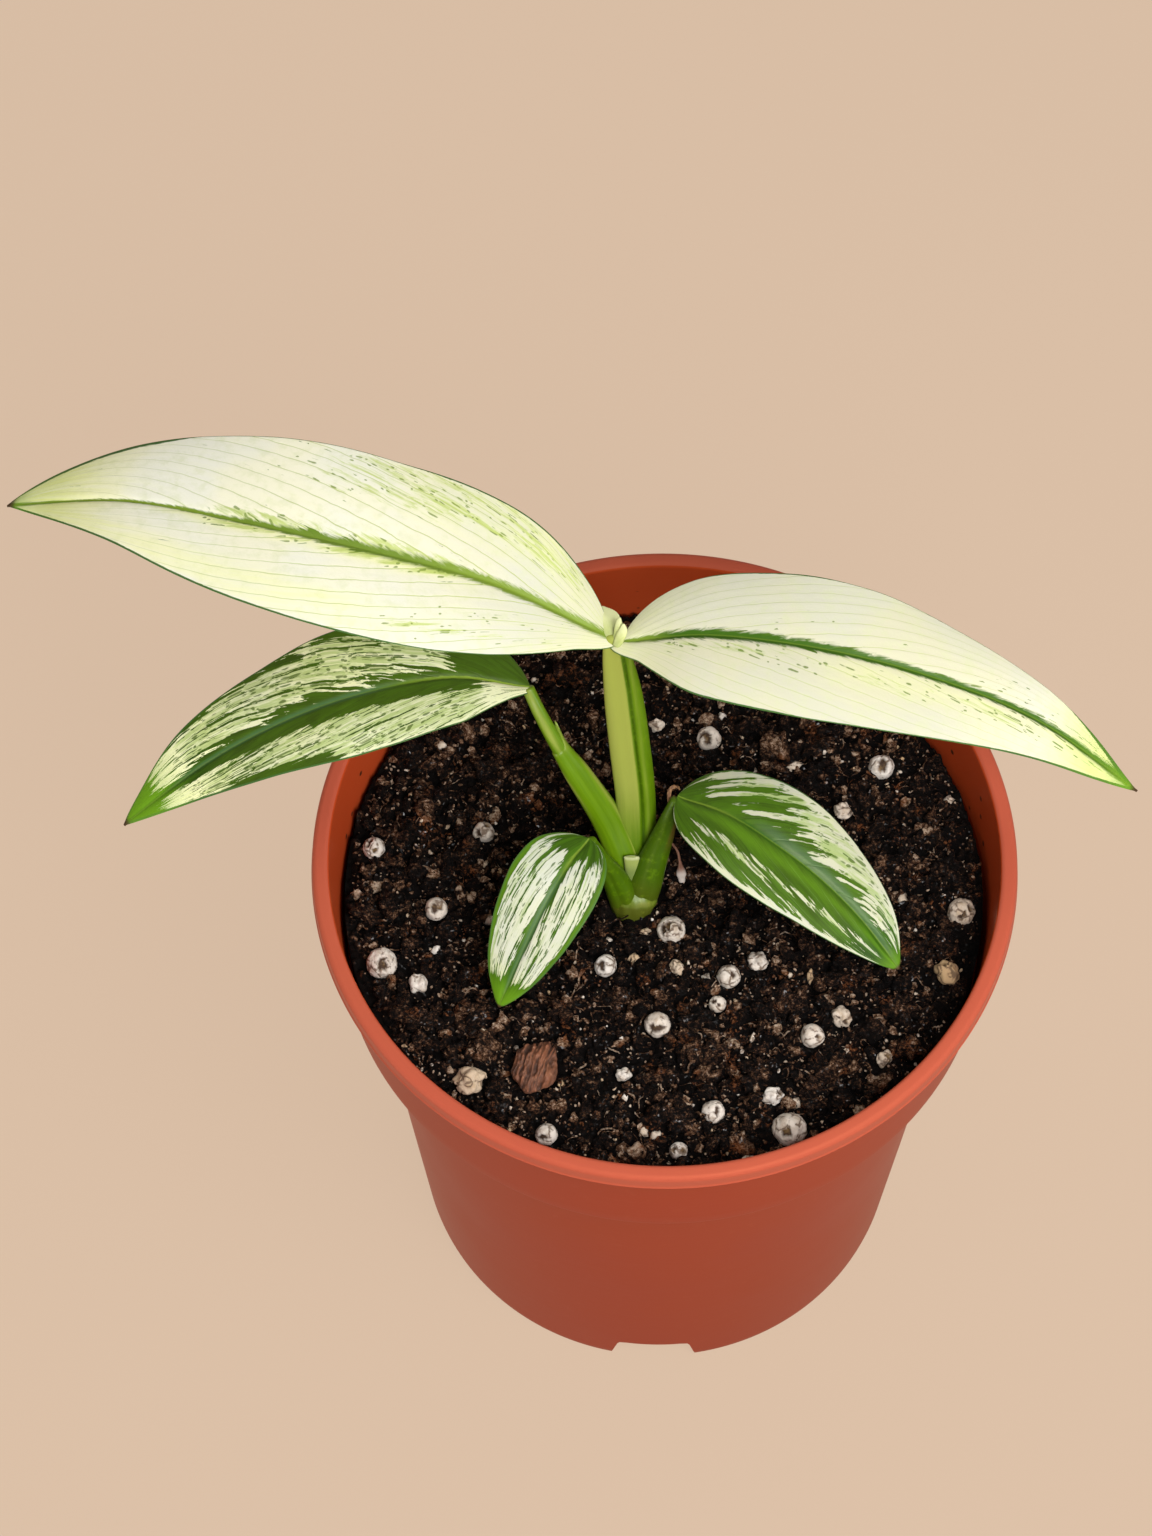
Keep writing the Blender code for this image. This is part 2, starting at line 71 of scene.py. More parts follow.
def add_camera():
    """A long lens that looks down at the rim, with X level in the picture."""
    tilt = math.radians(CAMERA_ELEVATION)
    up = Vector((0.0, math.sin(tilt), math.cos(tilt)))
    back = Vector((0.0, -math.cos(tilt), math.sin(tilt)))
    data = bpy.data.cameras.new("camera")
    data.lens = LENS
    data.sensor_width = SENSOR
    data.clip_start = 0.01
    camera = add_object("camera", data)
    place = Vector((VIEW_ACROSS, 0.0, RIM_HEIGHT)) + up * VIEW_UP + back * CAMERA_DISTANCE
    camera.location = place * MM
    camera.rotation_euler = (math.pi / 2 - tilt, 0.0, 0.0)
    bpy.context.scene.camera = camera


# ---------------------------------------------------------------- materials


class Graph:
    """One procedural material. Each method adds nodes and gives an output socket."""

    def __init__(self, name, sockets):
        self.mat = bpy.data.materials.new(name)
        self.mat.use_nodes = True
        self.nodes = self.mat.node_tree.nodes
        self.links = self.mat.node_tree.links
        self.shader = self.nodes["Principled BSDF"]
        self.colour = None
        for socket, value in sockets.items():
            self.put(self.shader.inputs[socket], value)

    def put(self, socket, value):
        if isinstance(value, bpy.types.NodeSocket):
            self.links.new(value, socket)
        elif socket.type == "RGBA":
            socket.default_value = (*value, 1.0)
        else:
            socket.default_value = value

    def node(self, kind, inputs, output=0, **settings):
        node = self.nodes.new("ShaderNode" + kind)
        for key, value in settings.items():
            setattr(node, key, value)
        for key, value in inputs.items():
            self.put(node.inputs[key], value)
        return node.outputs[output]

    def math(self, operation, *values, clamp=False):
        return self.node("Math", dict(enumerate(values)), operation=operation, use_clamp=clamp)

    def mul(self, a, b, plus=None):
        """a times b, and a third value added where there is one."""
        if plus is None:
            return self.math("MULTIPLY", a, b)
        return self.math("MULTIPLY_ADD", a, b, plus)

    def vector(self, operation, *values):
        return self.node("VectorMath", dict(enumerate(values)), operation=operation)

    def mix(self, factor, a, b, blend="MIX"):
        inputs = {0: factor, 6: a, 7: b}
        return self.node("Mix", inputs, 2, data_type="RGBA", blend_type=blend)

    def step(self, value, low, high):
        """0 below low, 1 above high, and smooth between them."""
        inputs = {"Value": value, "From Min": low, "From Max": high}
        return self.node("MapRange", inputs, interpolation_type="SMOOTHSTEP")

    def fall(self, value, low, high):
        """1 below low, 0 above high, and smooth between them."""
        return self.math("SUBTRACT", 1.0, self.step(value, low, high))

    def noise(self, vector, scale, detail=2.0, roughness=0.5, distortion=0.0, output=0):
        inputs = {"Vector": vector, "Scale": scale, "Detail": detail, "Roughness": roughness,
                  "Distortion": distortion}
        return self.node("TexNoise", inputs, output)

    def streaks(self, vector, squeeze, *settings):
        """Noise drawn out along the axes that are squeezed least."""
        return self.noise(self.vector("MULTIPLY", vector, squeeze), 1.0, *settings)

    def cells(self, vector, scale, feature="F1", output="Distance"):
        return self.node("TexVoronoi", {"Vector": vector, "Scale": scale}, output, feature=feature)

    def position(self):
        return self.node("TexCoord", {}, "Object")

    def attribute(self, name):
        return self.node("Attribute", {}, "Vector", attribute_name=name)

    def value(self, name):
        return self.node("Attribute", {}, "Fac", attribute_name=name)

    def parts(self, vector):
        """The x, y and z of a vector socket."""
        node = self.nodes.new("ShaderNodeSeparateXYZ")
        self.put(node.inputs[0], vector)
        return node.outputs

    def split(self, name):
        """The three numbers of a vector attribute."""
        return self.parts(self.attribute(name))

    def lay(self, share, tint):
        """Lays this share of a tint over the colour so far."""
        self.colour = self.mix(share, self.colour, tint)

    def finish(self, roughness=None, height=None, bump=0.3, depth=0.0002):
        self.put(self.shader.inputs["Base Color"], self.colour)
        if roughness is not None:
            self.put(self.shader.inputs["Roughness"], roughness)
        if height is not None:
            inputs = {"Strength": bump, "Distance": depth, "Height": height}
            self.put(self.shader.inputs["Normal"], self.node("Bump", inputs))
        return self.mat


def srgb(red, green, blue):
    """Linear colour from 0 to 255 screen values."""
    def linear(c):
        c /= 255
        return c / 12.92 if c <= 0.04045 else ((c + 0.055) / 1.055) ** 2.4
    return tuple(linear(c) for c in (red, green, blue))


# ---------------------------------------------------------------- meshes


def add_mesh(name, points, faces, orient=True):
    """A mesh object from points in millimetres, with its faces turned outward where that is asked."""
    mesh = bpy.data.meshes.new(name)
    mesh.from_pydata((np.asarray(points, float) * MM).tolist(), [], faces)
    if orient:
        bm = bmesh.new()
        bm.from_mesh(mesh)
        bmesh.ops.recalc_face_normals(bm, faces=bm.faces)
        bm.to_mesh(mesh)
        bm.free()
    return add_object(name, mesh)


def dress(obj, mat, nodes=(), sharp=None):
    """Smooth shading, hard at edges of more than so many degrees, the material and the piece's place in the part."""
    obj.data.shade_smooth()
    if sharp:
        obj.data.set_sharp_from_angle(angle=math.radians(sharp))
    obj.data.materials.clear()
    obj.data.materials.append(mat)
    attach(obj, "root")
    if nodes:
        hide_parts(*nodes)


def add_piece(name, points, faces, mat, nodes=(), attributes=None, sharp=None, orient=True):
    """A piece of the plant or the mix, with its numbers at each point, that stands for these CAD nodes."""
    obj = add_mesh(name, points, faces, orient)
    for key, values in (attributes or {}).items():
        values = np.asarray(values, np.float32)
        kind, field = ("FLOAT_VECTOR", "vector") if values.ndim == 2 else ("FLOAT", "value")
        obj.data.attributes.new(key, kind, "POINT").data.foreach_set(field, values.ravel())
    dress(obj, mat, nodes, sharp)


def ease(x, low, high):
    """0 below low, 1 above high, and smooth between them."""
    x = np.clip((x - low) / (high - low), 0.0, 1.0)
    return x * x * (3 - 2 * x)


def fade(x, low, high):
    """1 below low, 0 above high, and smooth between them."""
    return 1 - ease(x, low, high)


def window(x, a, b, c, d):
    """Rises from a to b and falls from c to d."""
    return ease(x, a, b) * fade(x, c, d)


def near(x, middle, width):
    """1 at the middle, falling off smoothly on both sides."""
    return np.exp(-((x - middle) / width) ** 2)


def noise_over(points, scale=1.0, offset=(0.0, 0.0, 0.0)):
    """Smooth noise from -1 to 1 at each of many points, which are scaled and then moved by the offset."""
    offset = Vector(offset)
    return np.array([noise.noise(Vector(p) * scale + offset) for p in points])


def turn_about_z(degrees):
    return np.array(Matrix.Rotation(math.radians(degrees), 3, "Z"))


def through(stations, t):
    """A smooth curve through rows of stations, at an array of t from 0 to 1 (Catmull-Rom)."""
    stations = np.asarray(stations, float)
    flat = stations.ndim == 1
    rows = stations[:, None] if flat else stations
    ends = np.vstack([2 * rows[0] - rows[1], rows, 2 * rows[-1] - rows[-2]])
    place = np.clip(t, 0.0, 1.0) * (len(rows) - 1)
    k = np.minimum(place.astype(int), len(rows) - 2)
    u = (place - k)[:, None]
    p0, p1, p2, p3 = (ends[k + j] for j in range(4))
    found = 0.5 * (p1 * 2 + (p2 - p0) * u + (p0 * 2 - p1 * 5 + p2 * 4 - p3) * u ** 2
                   + (p1 * 3 - p0 - p2 * 3 + p3) * u ** 3)
    return found[:, 0] if flat else found


def unit(vectors):
    return vectors / np.linalg.norm(vectors, axis=-1, keepdims=True)


def tangents(spine, t):
    return unit(through(spine, np.minimum(t + 0.01, 1)) - through(spine, np.maximum(t - 0.01, 0)))


def grid_faces(rows, columns, closed=False, first=0):
    """Quads over a grid of points, with each row joined to its own start where it is closed."""
    across = columns if closed else columns - 1
    r, c = np.meshgrid(np.arange(rows - 1), np.arange(across), indexing="ij")
    c2 = (c + 1) % columns
    corners = [r * columns + c, r * columns + c2, (r + 1) * columns + c2, (r + 1) * columns + c]
    return (np.stack(corners, -1).reshape(-1, 4) + first).tolist()


def capped_tube(rings):
    """Points and faces of a tube through rings of points, with a fan over each end."""
    rows, columns = rings.shape[:2]
    points = np.vstack([rings.reshape(-1, 3), rings[0].mean(0), rings[-1].mean(0)])
    faces = grid_faces(rows, columns, closed=True)
    for hub, start in ((len(points) - 2, 0), (len(points) - 1, (rows - 1) * columns)):
        faces += [(hub, start + k, start + (k + 1) % columns) for k in range(columns)]
    return points, faces


# ---------------------------------------------------------------- pot

RIM_RADIUS = 60.0
RIM_INNER_RADIUS = 57.1
LIP_HEIGHT = 3.6
LIP_ROUNDING = 1.0
COLLAR_FOOT = 89.6
COLLAR_TOP_RADIUS = 57.8
COLLAR_FOOT_RADIUS = 56.0
BODY_TOP_RADIUS = 51.3
BASE_RADIUS = 43.3
WALL = 1.2
LEDGE_RISE = 1.2
POT_SEGMENTS = 256
RING_SEGMENTS = 128
HOLE_SEGMENTS = 32
# How far plain edges are softened, and how far a cutter reaches past what it cuts.
EDGE = 0.6
OVER = 2.0
FLOOR_THICKNESS = 1.5
NOTCH_COUNT = 4
NOTCH_WIDTH = 15.4
NOTCH_TOP_WIDTH = 12.0
NOTCH_HEIGHT = 7.2
NOTCH_ROUNDING = 1.2
NOTCH_TURN = -91.2
RING_HEIGHT = 7.7
RING_INNER_RADIUS = 15.0
RING_OUTER_RADIUS = 30.0
HOLE_RADIUS = 4.0
HOLE_COUNT = 8
SOIL_LEVEL = 104.0
CHANNEL_ROOF = RING_HEIGHT + FLOOR_THICKNESS
INNER_COLLAR_RADIUS = COLLAR_FOOT_RADIUS - WALL
INNER_BODY_RADIUS = BODY_TOP_RADIUS - WALL
INNER_BASE_RADIUS = BASE_RADIUS - WALL
# A bead of flash where the mould closes under the lip: its reach and its height.
BEAD_REACH = 0.16
BEAD_HEIGHT = 0.6


def arc(centre, radius, start, end, steps):
    """Points of an arc in the profile plane, with its angles in degrees."""
    angles = np.radians(np.linspace(start, end, steps + 1))
    return [(centre[0] + radius * math.cos(a), centre[1] + radius * math.sin(a)) for a in angles]


def line(start, end, steps):
    """Points between two profile points, without the ends."""
    start, end = np.array(start), np.array(end)
    return [tuple(start + (end - start) * k / steps) for k in range(1, steps)]


def turned(profile, segments=POT_SEGMENTS):
    """A solid turned about Z from (radius, height) points, closed flat over its first and last ring."""
    angles = 2 * math.pi * np.arange(segments) / segments
    rings = [np.stack([r * np.cos(angles), r * np.sin(angles), np.full(segments, z)], -1) for r, z in profile]
    faces = grid_faces(len(profile), segments, closed=True)
    last = (len(profile) - 1) * segments
    faces += [list(range(segments)), list(range(last, last + segments))]
    return np.vstack(rings), faces


def pot_outside():
    """From the ground up to the top of the rolled lip."""
    under_lip = RIM_HEIGHT - LIP_HEIGHT
    body_top = (BODY_TOP_RADIUS, COLLAR_FOOT - 2 * LEDGE_RISE)
    collar_foot = (COLLAR_FOOT_RADIUS, COLLAR_FOOT + EDGE)
    collar_top = (COLLAR_TOP_RADIUS, under_lip)
    slope = (BODY_TOP_RADIUS - BASE_RADIUS) / (COLLAR_FOOT - 2 * LEDGE_RISE)
    low = [(BASE_RADIUS + slope * z, z) for z in (1.4, 2.3, 3.2, 4.4, 6.0, 9.0, 14.0)]
    lip = (RIM_RADIUS - LIP_ROUNDING, RIM_HEIGHT - LIP_ROUNDING)
    return [
        *arc((BASE_RADIUS - EDGE, EDGE), EDGE, -90, 0, 4), *low,
        *line(low[-1], body_top, 9),
        *arc((BODY_TOP_RADIUS + 0.8, COLLAR_FOOT - 2 * LEDGE_RISE), 0.8, 180, 130, 3),
        *arc((COLLAR_FOOT_RADIUS - EDGE, COLLAR_FOOT + EDGE), EDGE, -90, 0, 5),
        *line(collar_foot, collar_top, 8),
        (COLLAR_TOP_RADIUS - 0.02, under_lip - 0.25),
        *arc((COLLAR_TOP_RADIUS + 0.3, under_lip - 0.3), 0.3, 180, 90, 3),
        (RIM_RADIUS - 0.35, under_lip),
        *arc((RIM_RADIUS - 0.25, under_lip + BEAD_HEIGHT / 2), BEAD_HEIGHT / 2, -90, 0, 3),
        (RIM_RADIUS + BEAD_REACH, under_lip + BEAD_HEIGHT * 0.8),
        (RIM_RADIUS, under_lip + BEAD_HEIGHT + 0.15),
        *line((RIM_RADIUS, under_lip + BEAD_HEIGHT), (RIM_RADIUS, lip[1]), 3),
        *arc(lip, LIP_ROUNDING, 0, 90, 8),
    ]


def pot_cavity():
    """From above the rim down the inner wall to the floor."""
    rim = (RIM_INNER_RADIUS + 0.9, RIM_HEIGHT - 0.9)
    return [
        (rim[0] + 0.1, RIM_HEIGHT + OVER), (rim[0] + 0.05, RIM_HEIGHT + 0.2),
        *arc(rim, 0.9, 90, 180, 6),
        *line((RIM_INNER_RADIUS, RIM_HEIGHT - 0.9), (INNER_COLLAR_RADIUS, COLLAR_FOOT + 2 * EDGE), 6),
        (INNER_COLLAR_RADIUS, COLLAR_FOOT + 2 * EDGE), (INNER_COLLAR_RADIUS - EDGE, COLLAR_FOOT + EDGE),
        (INNER_BODY_RADIUS + EDGE, COLLAR_FOOT - EDGE / 2), (INNER_BODY_RADIUS, COLLAR_FOOT - 2 * EDGE),
        (INNER_BASE_RADIUS + EDGE / 2, CHANNEL_ROOF + FLOOR_THICKNESS),
        (INNER_BASE_RADIUS - 2 * EDGE, FLOOR_THICKNESS),
    ]


def joined(*shapes):
    """Several closed shapes as one set of points and faces."""
    points, faces = [], []
    for shape_points, shape_faces in shapes:
        first = sum(len(p) for p in points)
        faces += [[first + k for k in face] for face in shape_faces]
        points.append(np.asarray(shape_points))
    return np.vstack(points), faces


def channel_shape(wall, outer_end, turn_degrees):
    """A trapezium bar along one straight channel, with a wall added to its sides and roof."""
    half, half_top = NOTCH_WIDTH / 2 + wall, NOTCH_TOP_WIDTH / 2 + wall
    top, soft = NOTCH_HEIGHT + wall, NOTCH_ROUNDING
    right = [(half, -OVER), (half, 0.0), (half_top + soft / 2, top - soft), (half_top + soft / 6, top - soft / 4),
             (half_top - soft, top)]
    outline = right + [(-y, z) for y, z in reversed(right)]
    inner_end = (RING_INNER_RADIUS + RING_OUTER_RADIUS) / 2
    rings = np.array([[(reach, y, z) for y, z in outline] for reach in (inner_end, outer_end)])
    return capped_tube(rings @ turn_about_z(turn_degrees).T)


def ring_shape(wall):
    """The ring channel as a solid, with a wall added to its sides and roof."""
    inner, outer = RING_INNER_RADIUS - wall, RING_OUTER_RADIUS + wall
    top = RING_HEIGHT + wall
    outline = [(inner - EDGE, -OVER), (inner + EDGE, top), (outer - EDGE, top), (outer + EDGE, -OVER)]
    angles = 2 * math.pi * (np.arange(RING_SEGMENTS) + 0.5) / RING_SEGMENTS
    rings = [[(r * math.cos(a), r * math.sin(a), z) for r, z in outline] for a in angles]
    faces, last = grid_faces(RING_SEGMENTS, 4, closed=True), 4 * (RING_SEGMENTS - 1)
    faces += [(last + k, last + (k + 1) % 4, (k + 1) % 4, k) for k in range(4)]
    return np.array(rings).reshape(-1, 3), faces


def hole_shape(turn_degrees):
    """A round drill through the roof of the ring channel."""
    middle = (RING_INNER_RADIUS + RING_OUTER_RADIUS) / 2
    angles = 2 * math.pi * (np.arange(HOLE_SEGMENTS) + 0.5) / HOLE_SEGMENTS
    circle = [middle + HOLE_RADIUS * np.cos(angles), HOLE_RADIUS * np.sin(angles)]
    rings = [np.column_stack([*circle, np.full(HOLE_SEGMENTS, z)]) for z in (RING_HEIGHT - OVER, CHANNEL_ROOF + OVER)]
    return capped_tube(np.array(rings) @ turn_about_z(turn_degrees).T)


def cut(obj, *cutters):
    """Takes the cutters away from a solid, leaves a plain mesh and removes them."""
    for cutter in cutters:
        boolean = obj.modifiers.new(cutter.name, "BOOLEAN")
        boolean.operation = "DIFFERENCE"
        boolean.solver = "EXACT"
        boolean.object = cutter
    evaluated = obj.evaluated_get(bpy.context.evaluated_depsgraph_get())
    mesh = bpy.data.meshes.new_from_object(evaluated)
    obj.modifiers.clear()
    obj.data = mesh
    for cutter in cutters:
        bpy.data.objects.remove(cutter)


def make_pot(mat):
    """The outside turned as a solid, hollowed by a cavity that stands clear of the raised channels."""
    pot = add_mesh("nursery_pot", *turned(pot_outside()))
    turns = [NOTCH_TURN + 360 * k / NOTCH_COUNT for k in range(NOTCH_COUNT)]
    cavity = add_mesh("cavity", *turned(pot_cavity()))
    roofs = joined(*[channel_shape(FLOOR_THICKNESS, BASE_RADIUS + OVER, turn) for turn in turns])
    cut(cavity, add_mesh("ring_roof", *ring_shape(FLOOR_THICKNESS)), add_mesh("roofs", *roofs))
    channels = joined(*[channel_shape(0.0, BASE_RADIUS + 2 * OVER, turn) for turn in turns])
    holes = joined(*[hole_shape(360 * k / HOLE_COUNT) for k in range(HOLE_COUNT)])
    cut(pot, cavity, add_mesh("ring_channel", *ring_shape(0.0)), add_mesh("channels", *channels),
        add_mesh("holes", *holes))
    dress(pot, mat, ["pot"], sharp=35)


# Colours of the plastic: outside, on the lip and inside, and the tint of its shine. The outer body and the lip
# are shaded and lit copies of the inside's plastic: the body is painted darker where its side is turned from the
# light, and the lip painted lighter where its top faces it.
POT_BODY_PAINTED_DARK = (0.31, 0.024, 0.001)
POT_LIP_PAINTED_LIGHT = (0.45, 0.088, 0.048)
POT_INSIDE = (0.46, 0.058, 0.014)
POT_DUST = (0.48, 0.13, 0.05)
POT_SHINE = (1.0, 0.34, 0.15)
SPECK_BROWN = (0.045, 0.018, 0.008)
# The middle of the collar's wall: its radius at the level of the mix, and how it leans.
WALL_MIDDLE = 56.5
WALL_LEAN = 0.066


def pot_material():
    """Satin injection-moulded plastic: faint flow marks, fine turning lines and light scuffs."""
    g = Graph("pot_plastic", {"Roughness": 0.36, "Specular IOR Level": 0.19, "Specular Tint": POT_SHINE})
    place = g.position()
    x, y, z = g.parts(place)
    reach = g.math("SQRT", g.math("ADD", g.mul(x, x), g.mul(y, y)))
    wall = g.mul(z, WALL_LEAN, (WALL_MIDDLE - WALL_LEAN * SOIL_LEVEL) * MM)
    inside = g.mul(g.math("LESS_THAN", reach, wall), g.math("GREATER_THAN", z, SOIL_LEVEL * 0.97 * MM))
    lip = g.step(z, (RIM_HEIGHT - LIP_HEIGHT - 0.1) * MM, (RIM_HEIGHT - LIP_HEIGHT + 0.1) * MM)
    cloud = g.noise(place, 28, 3, 0.55)
    lines = g.streaks(place, (40.0, 40.0, 900.0), 2, 0.6)
    ripple = g.node("CombineXYZ", {0: g.mul(reach, 2600.0), 2: g.mul(z, 30.0)})
    turning = g.noise(ripple, 1.0, 2, 0.5)
    fine = g.noise(place, 2600, 2, 0.6)
    # Painted light and shade: the lip is painted lighter and the outer body darker than the same plastic inside.
    g.colour = g.mix(inside, g.mix(lip, POT_BODY_PAINTED_DARK, POT_LIP_PAINTED_LIGHT), POT_INSIDE)
    g.lay(g.mul(g.step(cloud, 0.35, 0.7), 0.07), POT_DUST)
    dust = g.mul(g.step(g.noise(place, 420, 4, 0.7), 0.56, 0.74), 0.08)
    g.lay(dust, POT_DUST)
    low = g.fall(z, (SOIL_LEVEL + 1) * MM, (RIM_HEIGHT - 1) * MM)
    crumb = g.fall(g.cells(place, 420), 0.16, 0.26)
    share = g.mul(g.mul(inside, low), 0.3)
    chance = g.math("LESS_THAN", g.parts(g.cells(place, 420, output="Color"))[0], share)
    g.lay(g.mul(crumb, chance), SPECK_BROWN)
    rough = g.mul(cloud, 0.14, 0.34)
    height = g.mul(lines, 0.6, g.mul(fine, 0.5))
    height = g.mul(turning, 0.8, height)
    return g.finish(rough, height, 0.12, 0.0001)


# ---------------------------------------------------------------- blades

# How steeply each half rises from the midrib, and how far it bends back down toward the margin, in degrees.
LEAF_FOLD = 8.0
LEAF_CURL = -16.0
# Blade thickness over the middle and at the margin, and how far the rounded margin stands out.
BLADE_MIDDLE = 0.46
BLADE_MARGIN = 0.2
BLADE_ROUND = 0.09
# The midrib is sunk in the upper face and raised on the lower one.
GROOVE_DEPTH = 0.3
RIDGE_HEIGHT = 0.75
# The points along a blade, and where they stand across it from the midrib to the margin.
BLADE_ROWS = 140
HALF_COLUMNS = np.concatenate([[0.0, 0.02, 0.045, 0.075, 0.11], np.linspace(0.155, 0.965, 19), [0.985, 1.0]])


def half_width(t, widest, base, tip):
    """Half the blade's width at t: it swells as a power of t, and narrows to the tip as another."""
    peak = base / (base + tip)
    t = np.clip(t, 0.001, 0.9995)
    return widest * (t / peak) ** base * ((1 - t) / (1 - peak)) ** tip


# Each painter gets t along the blade, u from the midrib to the margin, and 1 on the half nearer the camera
# or 0 on the other. It gives how green the streaks, wash and specks are, the half width of the midrib's band
# and of the margin's line in millimetres, and the shares of the other tints. One of these tints is painted
# sheen, a blue-grey reflection laid along the midrib.


def paint_top_left(t, u, front):
    back = 1 - front
    speck = back * 0.75 * window(t, 0.02, 0.08, 0.4, 0.62) * window(u, 0.35, 0.6, 0.95, 1.0)
    speck += front * 0.75 * window(t, 0.05, 0.09, 0.32, 0.4) * near(u, 0.76, 0.09)
    speck += front * 0.5 * window(t, 0.05, 0.1, 0.25, 0.35) * near(u, 0.5, 0.06)
    speck += 0.9 * near(u, 0.08, 0.08) * window(t, 0.2, 0.28, 0.62, 0.7)
    wash = 0.12 + back * 0.3 * ease(t, 0.04, 0.14) * fade(t, 0.14, 0.5) * ease(u, 0.2, 0.7)
    wash += front * 0.3 * window(t, 0.3, 0.45, 0.8, 0.92) * window(u, 0.45, 0.7, 0.9, 1.0)
    wash += 0.12 * fade(t, 0.0, 0.22) + 0.7 * ease(t, 0.76, 0.93)
    wash += front * 0.55 * near(u, 0.07, 0.08) * window(t, 0.2, 0.32, 0.66, 0.8)
    dark = 0.1 + 0.3 * near(u, 0.03, 0.06) * window(t, 0.2, 0.32, 0.56, 0.68)
    dark += back * 0.12 * window(t, 0.03, 0.1, 0.4, 0.55) * window(u, 0.55, 0.8, 0.95, 1.0)
    band = np.interp(t, [0, 0.04, 0.3, 0.48, 0.58, 0.72, 0.9, 1], [0.6, 0.9, 0.95, 0.85, 0.55, 0.35, 0.25, 0.4])
    rim_front = np.interp(t, [0, 0.28, 0.4, 0.7, 0.95, 1], [0.04, 0.05, 0.2, 0.28, 0.25, 0.2])
    rim_back = np.interp(t, [0, 0.1, 0.3, 0.4, 0.72, 0.78, 0.95, 1], [0.1, 0.3, 0.3, 0.08, 0.08, 0.8, 0.7, 0.3])
    return dict(dark=dark, wash=wash, speck=speck, band=band, rim=np.where(front > 0, rim_front, rim_back),
                yellow=0.25 * ease(t, 0.85, 0.95) + 0.6 * ease(t, 0.95, 1.0), teal=0.0,
                olive=1 - 0.3 * window(t, 0.24, 0.36, 0.6, 0.72), hair=0.95 - 0.4 * ease(t, 0.45, 0.8))


def paint_top_right(t, u, front):
    back = 1 - front
    speck = front * 0.75 * window(t, 0.08, 0.12, 0.32, 0.42) * near(u, 0.2, 0.1)
    speck += front * 0.6 * window(t, 0.3, 0.4, 0.74, 0.84) * near(u, 0.32, 0.16)
    speck += back * 0.16 * window(t, 0.2, 0.4, 0.6, 0.7) * near(u, 0.3, 0.15)
    wash = 0.07 + front * 0.22 * near(u, 0.25, 0.2) * window(t, 0.35, 0.46, 0.85, 0.95)
    wash += 0.25 * fade(t, 0.0, 0.2) + 0.7 * ease(t, 0.78, 0.93)
    speck += 0.35 * window(t, 0.62, 0.76, 0.93, 1.0) * near(u, 0.2, 0.3)
    dark = 0.06 + 0.4 * near(u, 0.05, 0.06) * window(t, 0.08, 0.16, 0.86, 0.95)
    dark += (back * 0.25 * near(u, 0.25, 0.1) * window(t, 0.68, 0.74, 0.82, 0.88)
             + (0.25 + 0.5 * back) * ease(t, 0.88, 0.99))
    band = np.interp(t, [0, 0.03, 0.08, 0.2, 0.42, 0.6, 0.85, 1], [0.2, 0.45, 0.75, 0.95, 0.85, 0.7, 0.6, 0.7])
    rim_back = np.interp(t, [0, 0.15, 0.2, 0.36, 0.42, 0.84, 0.9, 1], [0.05, 0.05, 0.2, 0.2, 0.05, 0.05, 0.6, 1.1])
    rim_front = np.interp(t, [0, 0.06, 0.12, 0.34, 0.4, 0.6, 0.7, 1], [0.03, 0.14, 0.2, 0.2, 0.08, 0.08, 0.16, 0.4])
    return dict(dark=dark, wash=wash, speck=speck, band=band, rim=np.where(front > 0, rim_front, rim_back),
                yellow=0.4 * ease(t, 0.8, 0.92) + 0.6 * ease(t, 0.93, 0.99), teal=0.0,
                olive=0.9 - 0.85 * window(t, 0.04, 0.14, 0.9, 1.0), hair=0.6)


def paint_left(t, u, front):
    back = 1 - front
    upper = np.maximum(0.95 * fade(t, 0.14, 0.3), 0.38 + 0.28 * near(u, 0.06, 0.14))
    upper += 0.3 * ease(u, 0.84, 0.95) * window(t, 0.28, 0.38, 0.8, 0.9)
    lower = 0.38 + 0.62 * fade(u, 0.2, 0.36) * ease(t, 0.08, 0.22)
    lower += 0.5 * window(t, 0.48, 0.54, 0.72, 0.8) * ease(u, 0.78, 0.88)
    lower -= 0.08 * fade(t, 0.1, 0.4) * ease(u, 0.3, 0.55)
    dark = front * lower + back * upper + 0.75 * ease(t, 0.88, 0.97)
    band = np.interp(t, [0, 0.1, 0.3, 0.42, 0.8, 0.92, 1], [0.16, 0.2, 0.35, 0.5, 0.5, 0.3, 0.2])
    speck = 0.95 * window(t, 0.06, 0.16, 0.8, 0.9) * window(u, 0.12, 0.25, 0.94, 1.0)
    return dict(dark=dark, wash=0.26 + 0.25 * ease(t, 0.6, 0.9), speck=speck, band=band,
                rim=np.interp(t, [0, 0.4, 0.9, 1], [0.1, 0.15, 0.3, 0.4]),
                yellow=0.65 * ease(t, 0.82, 0.94), olive=1 - ease(t, 0.15, 0.42),
                teal=0.55 * window(t, 0.3, 0.42, 0.82, 0.92) * near(u, 0.02, 0.03), hair=0.3)


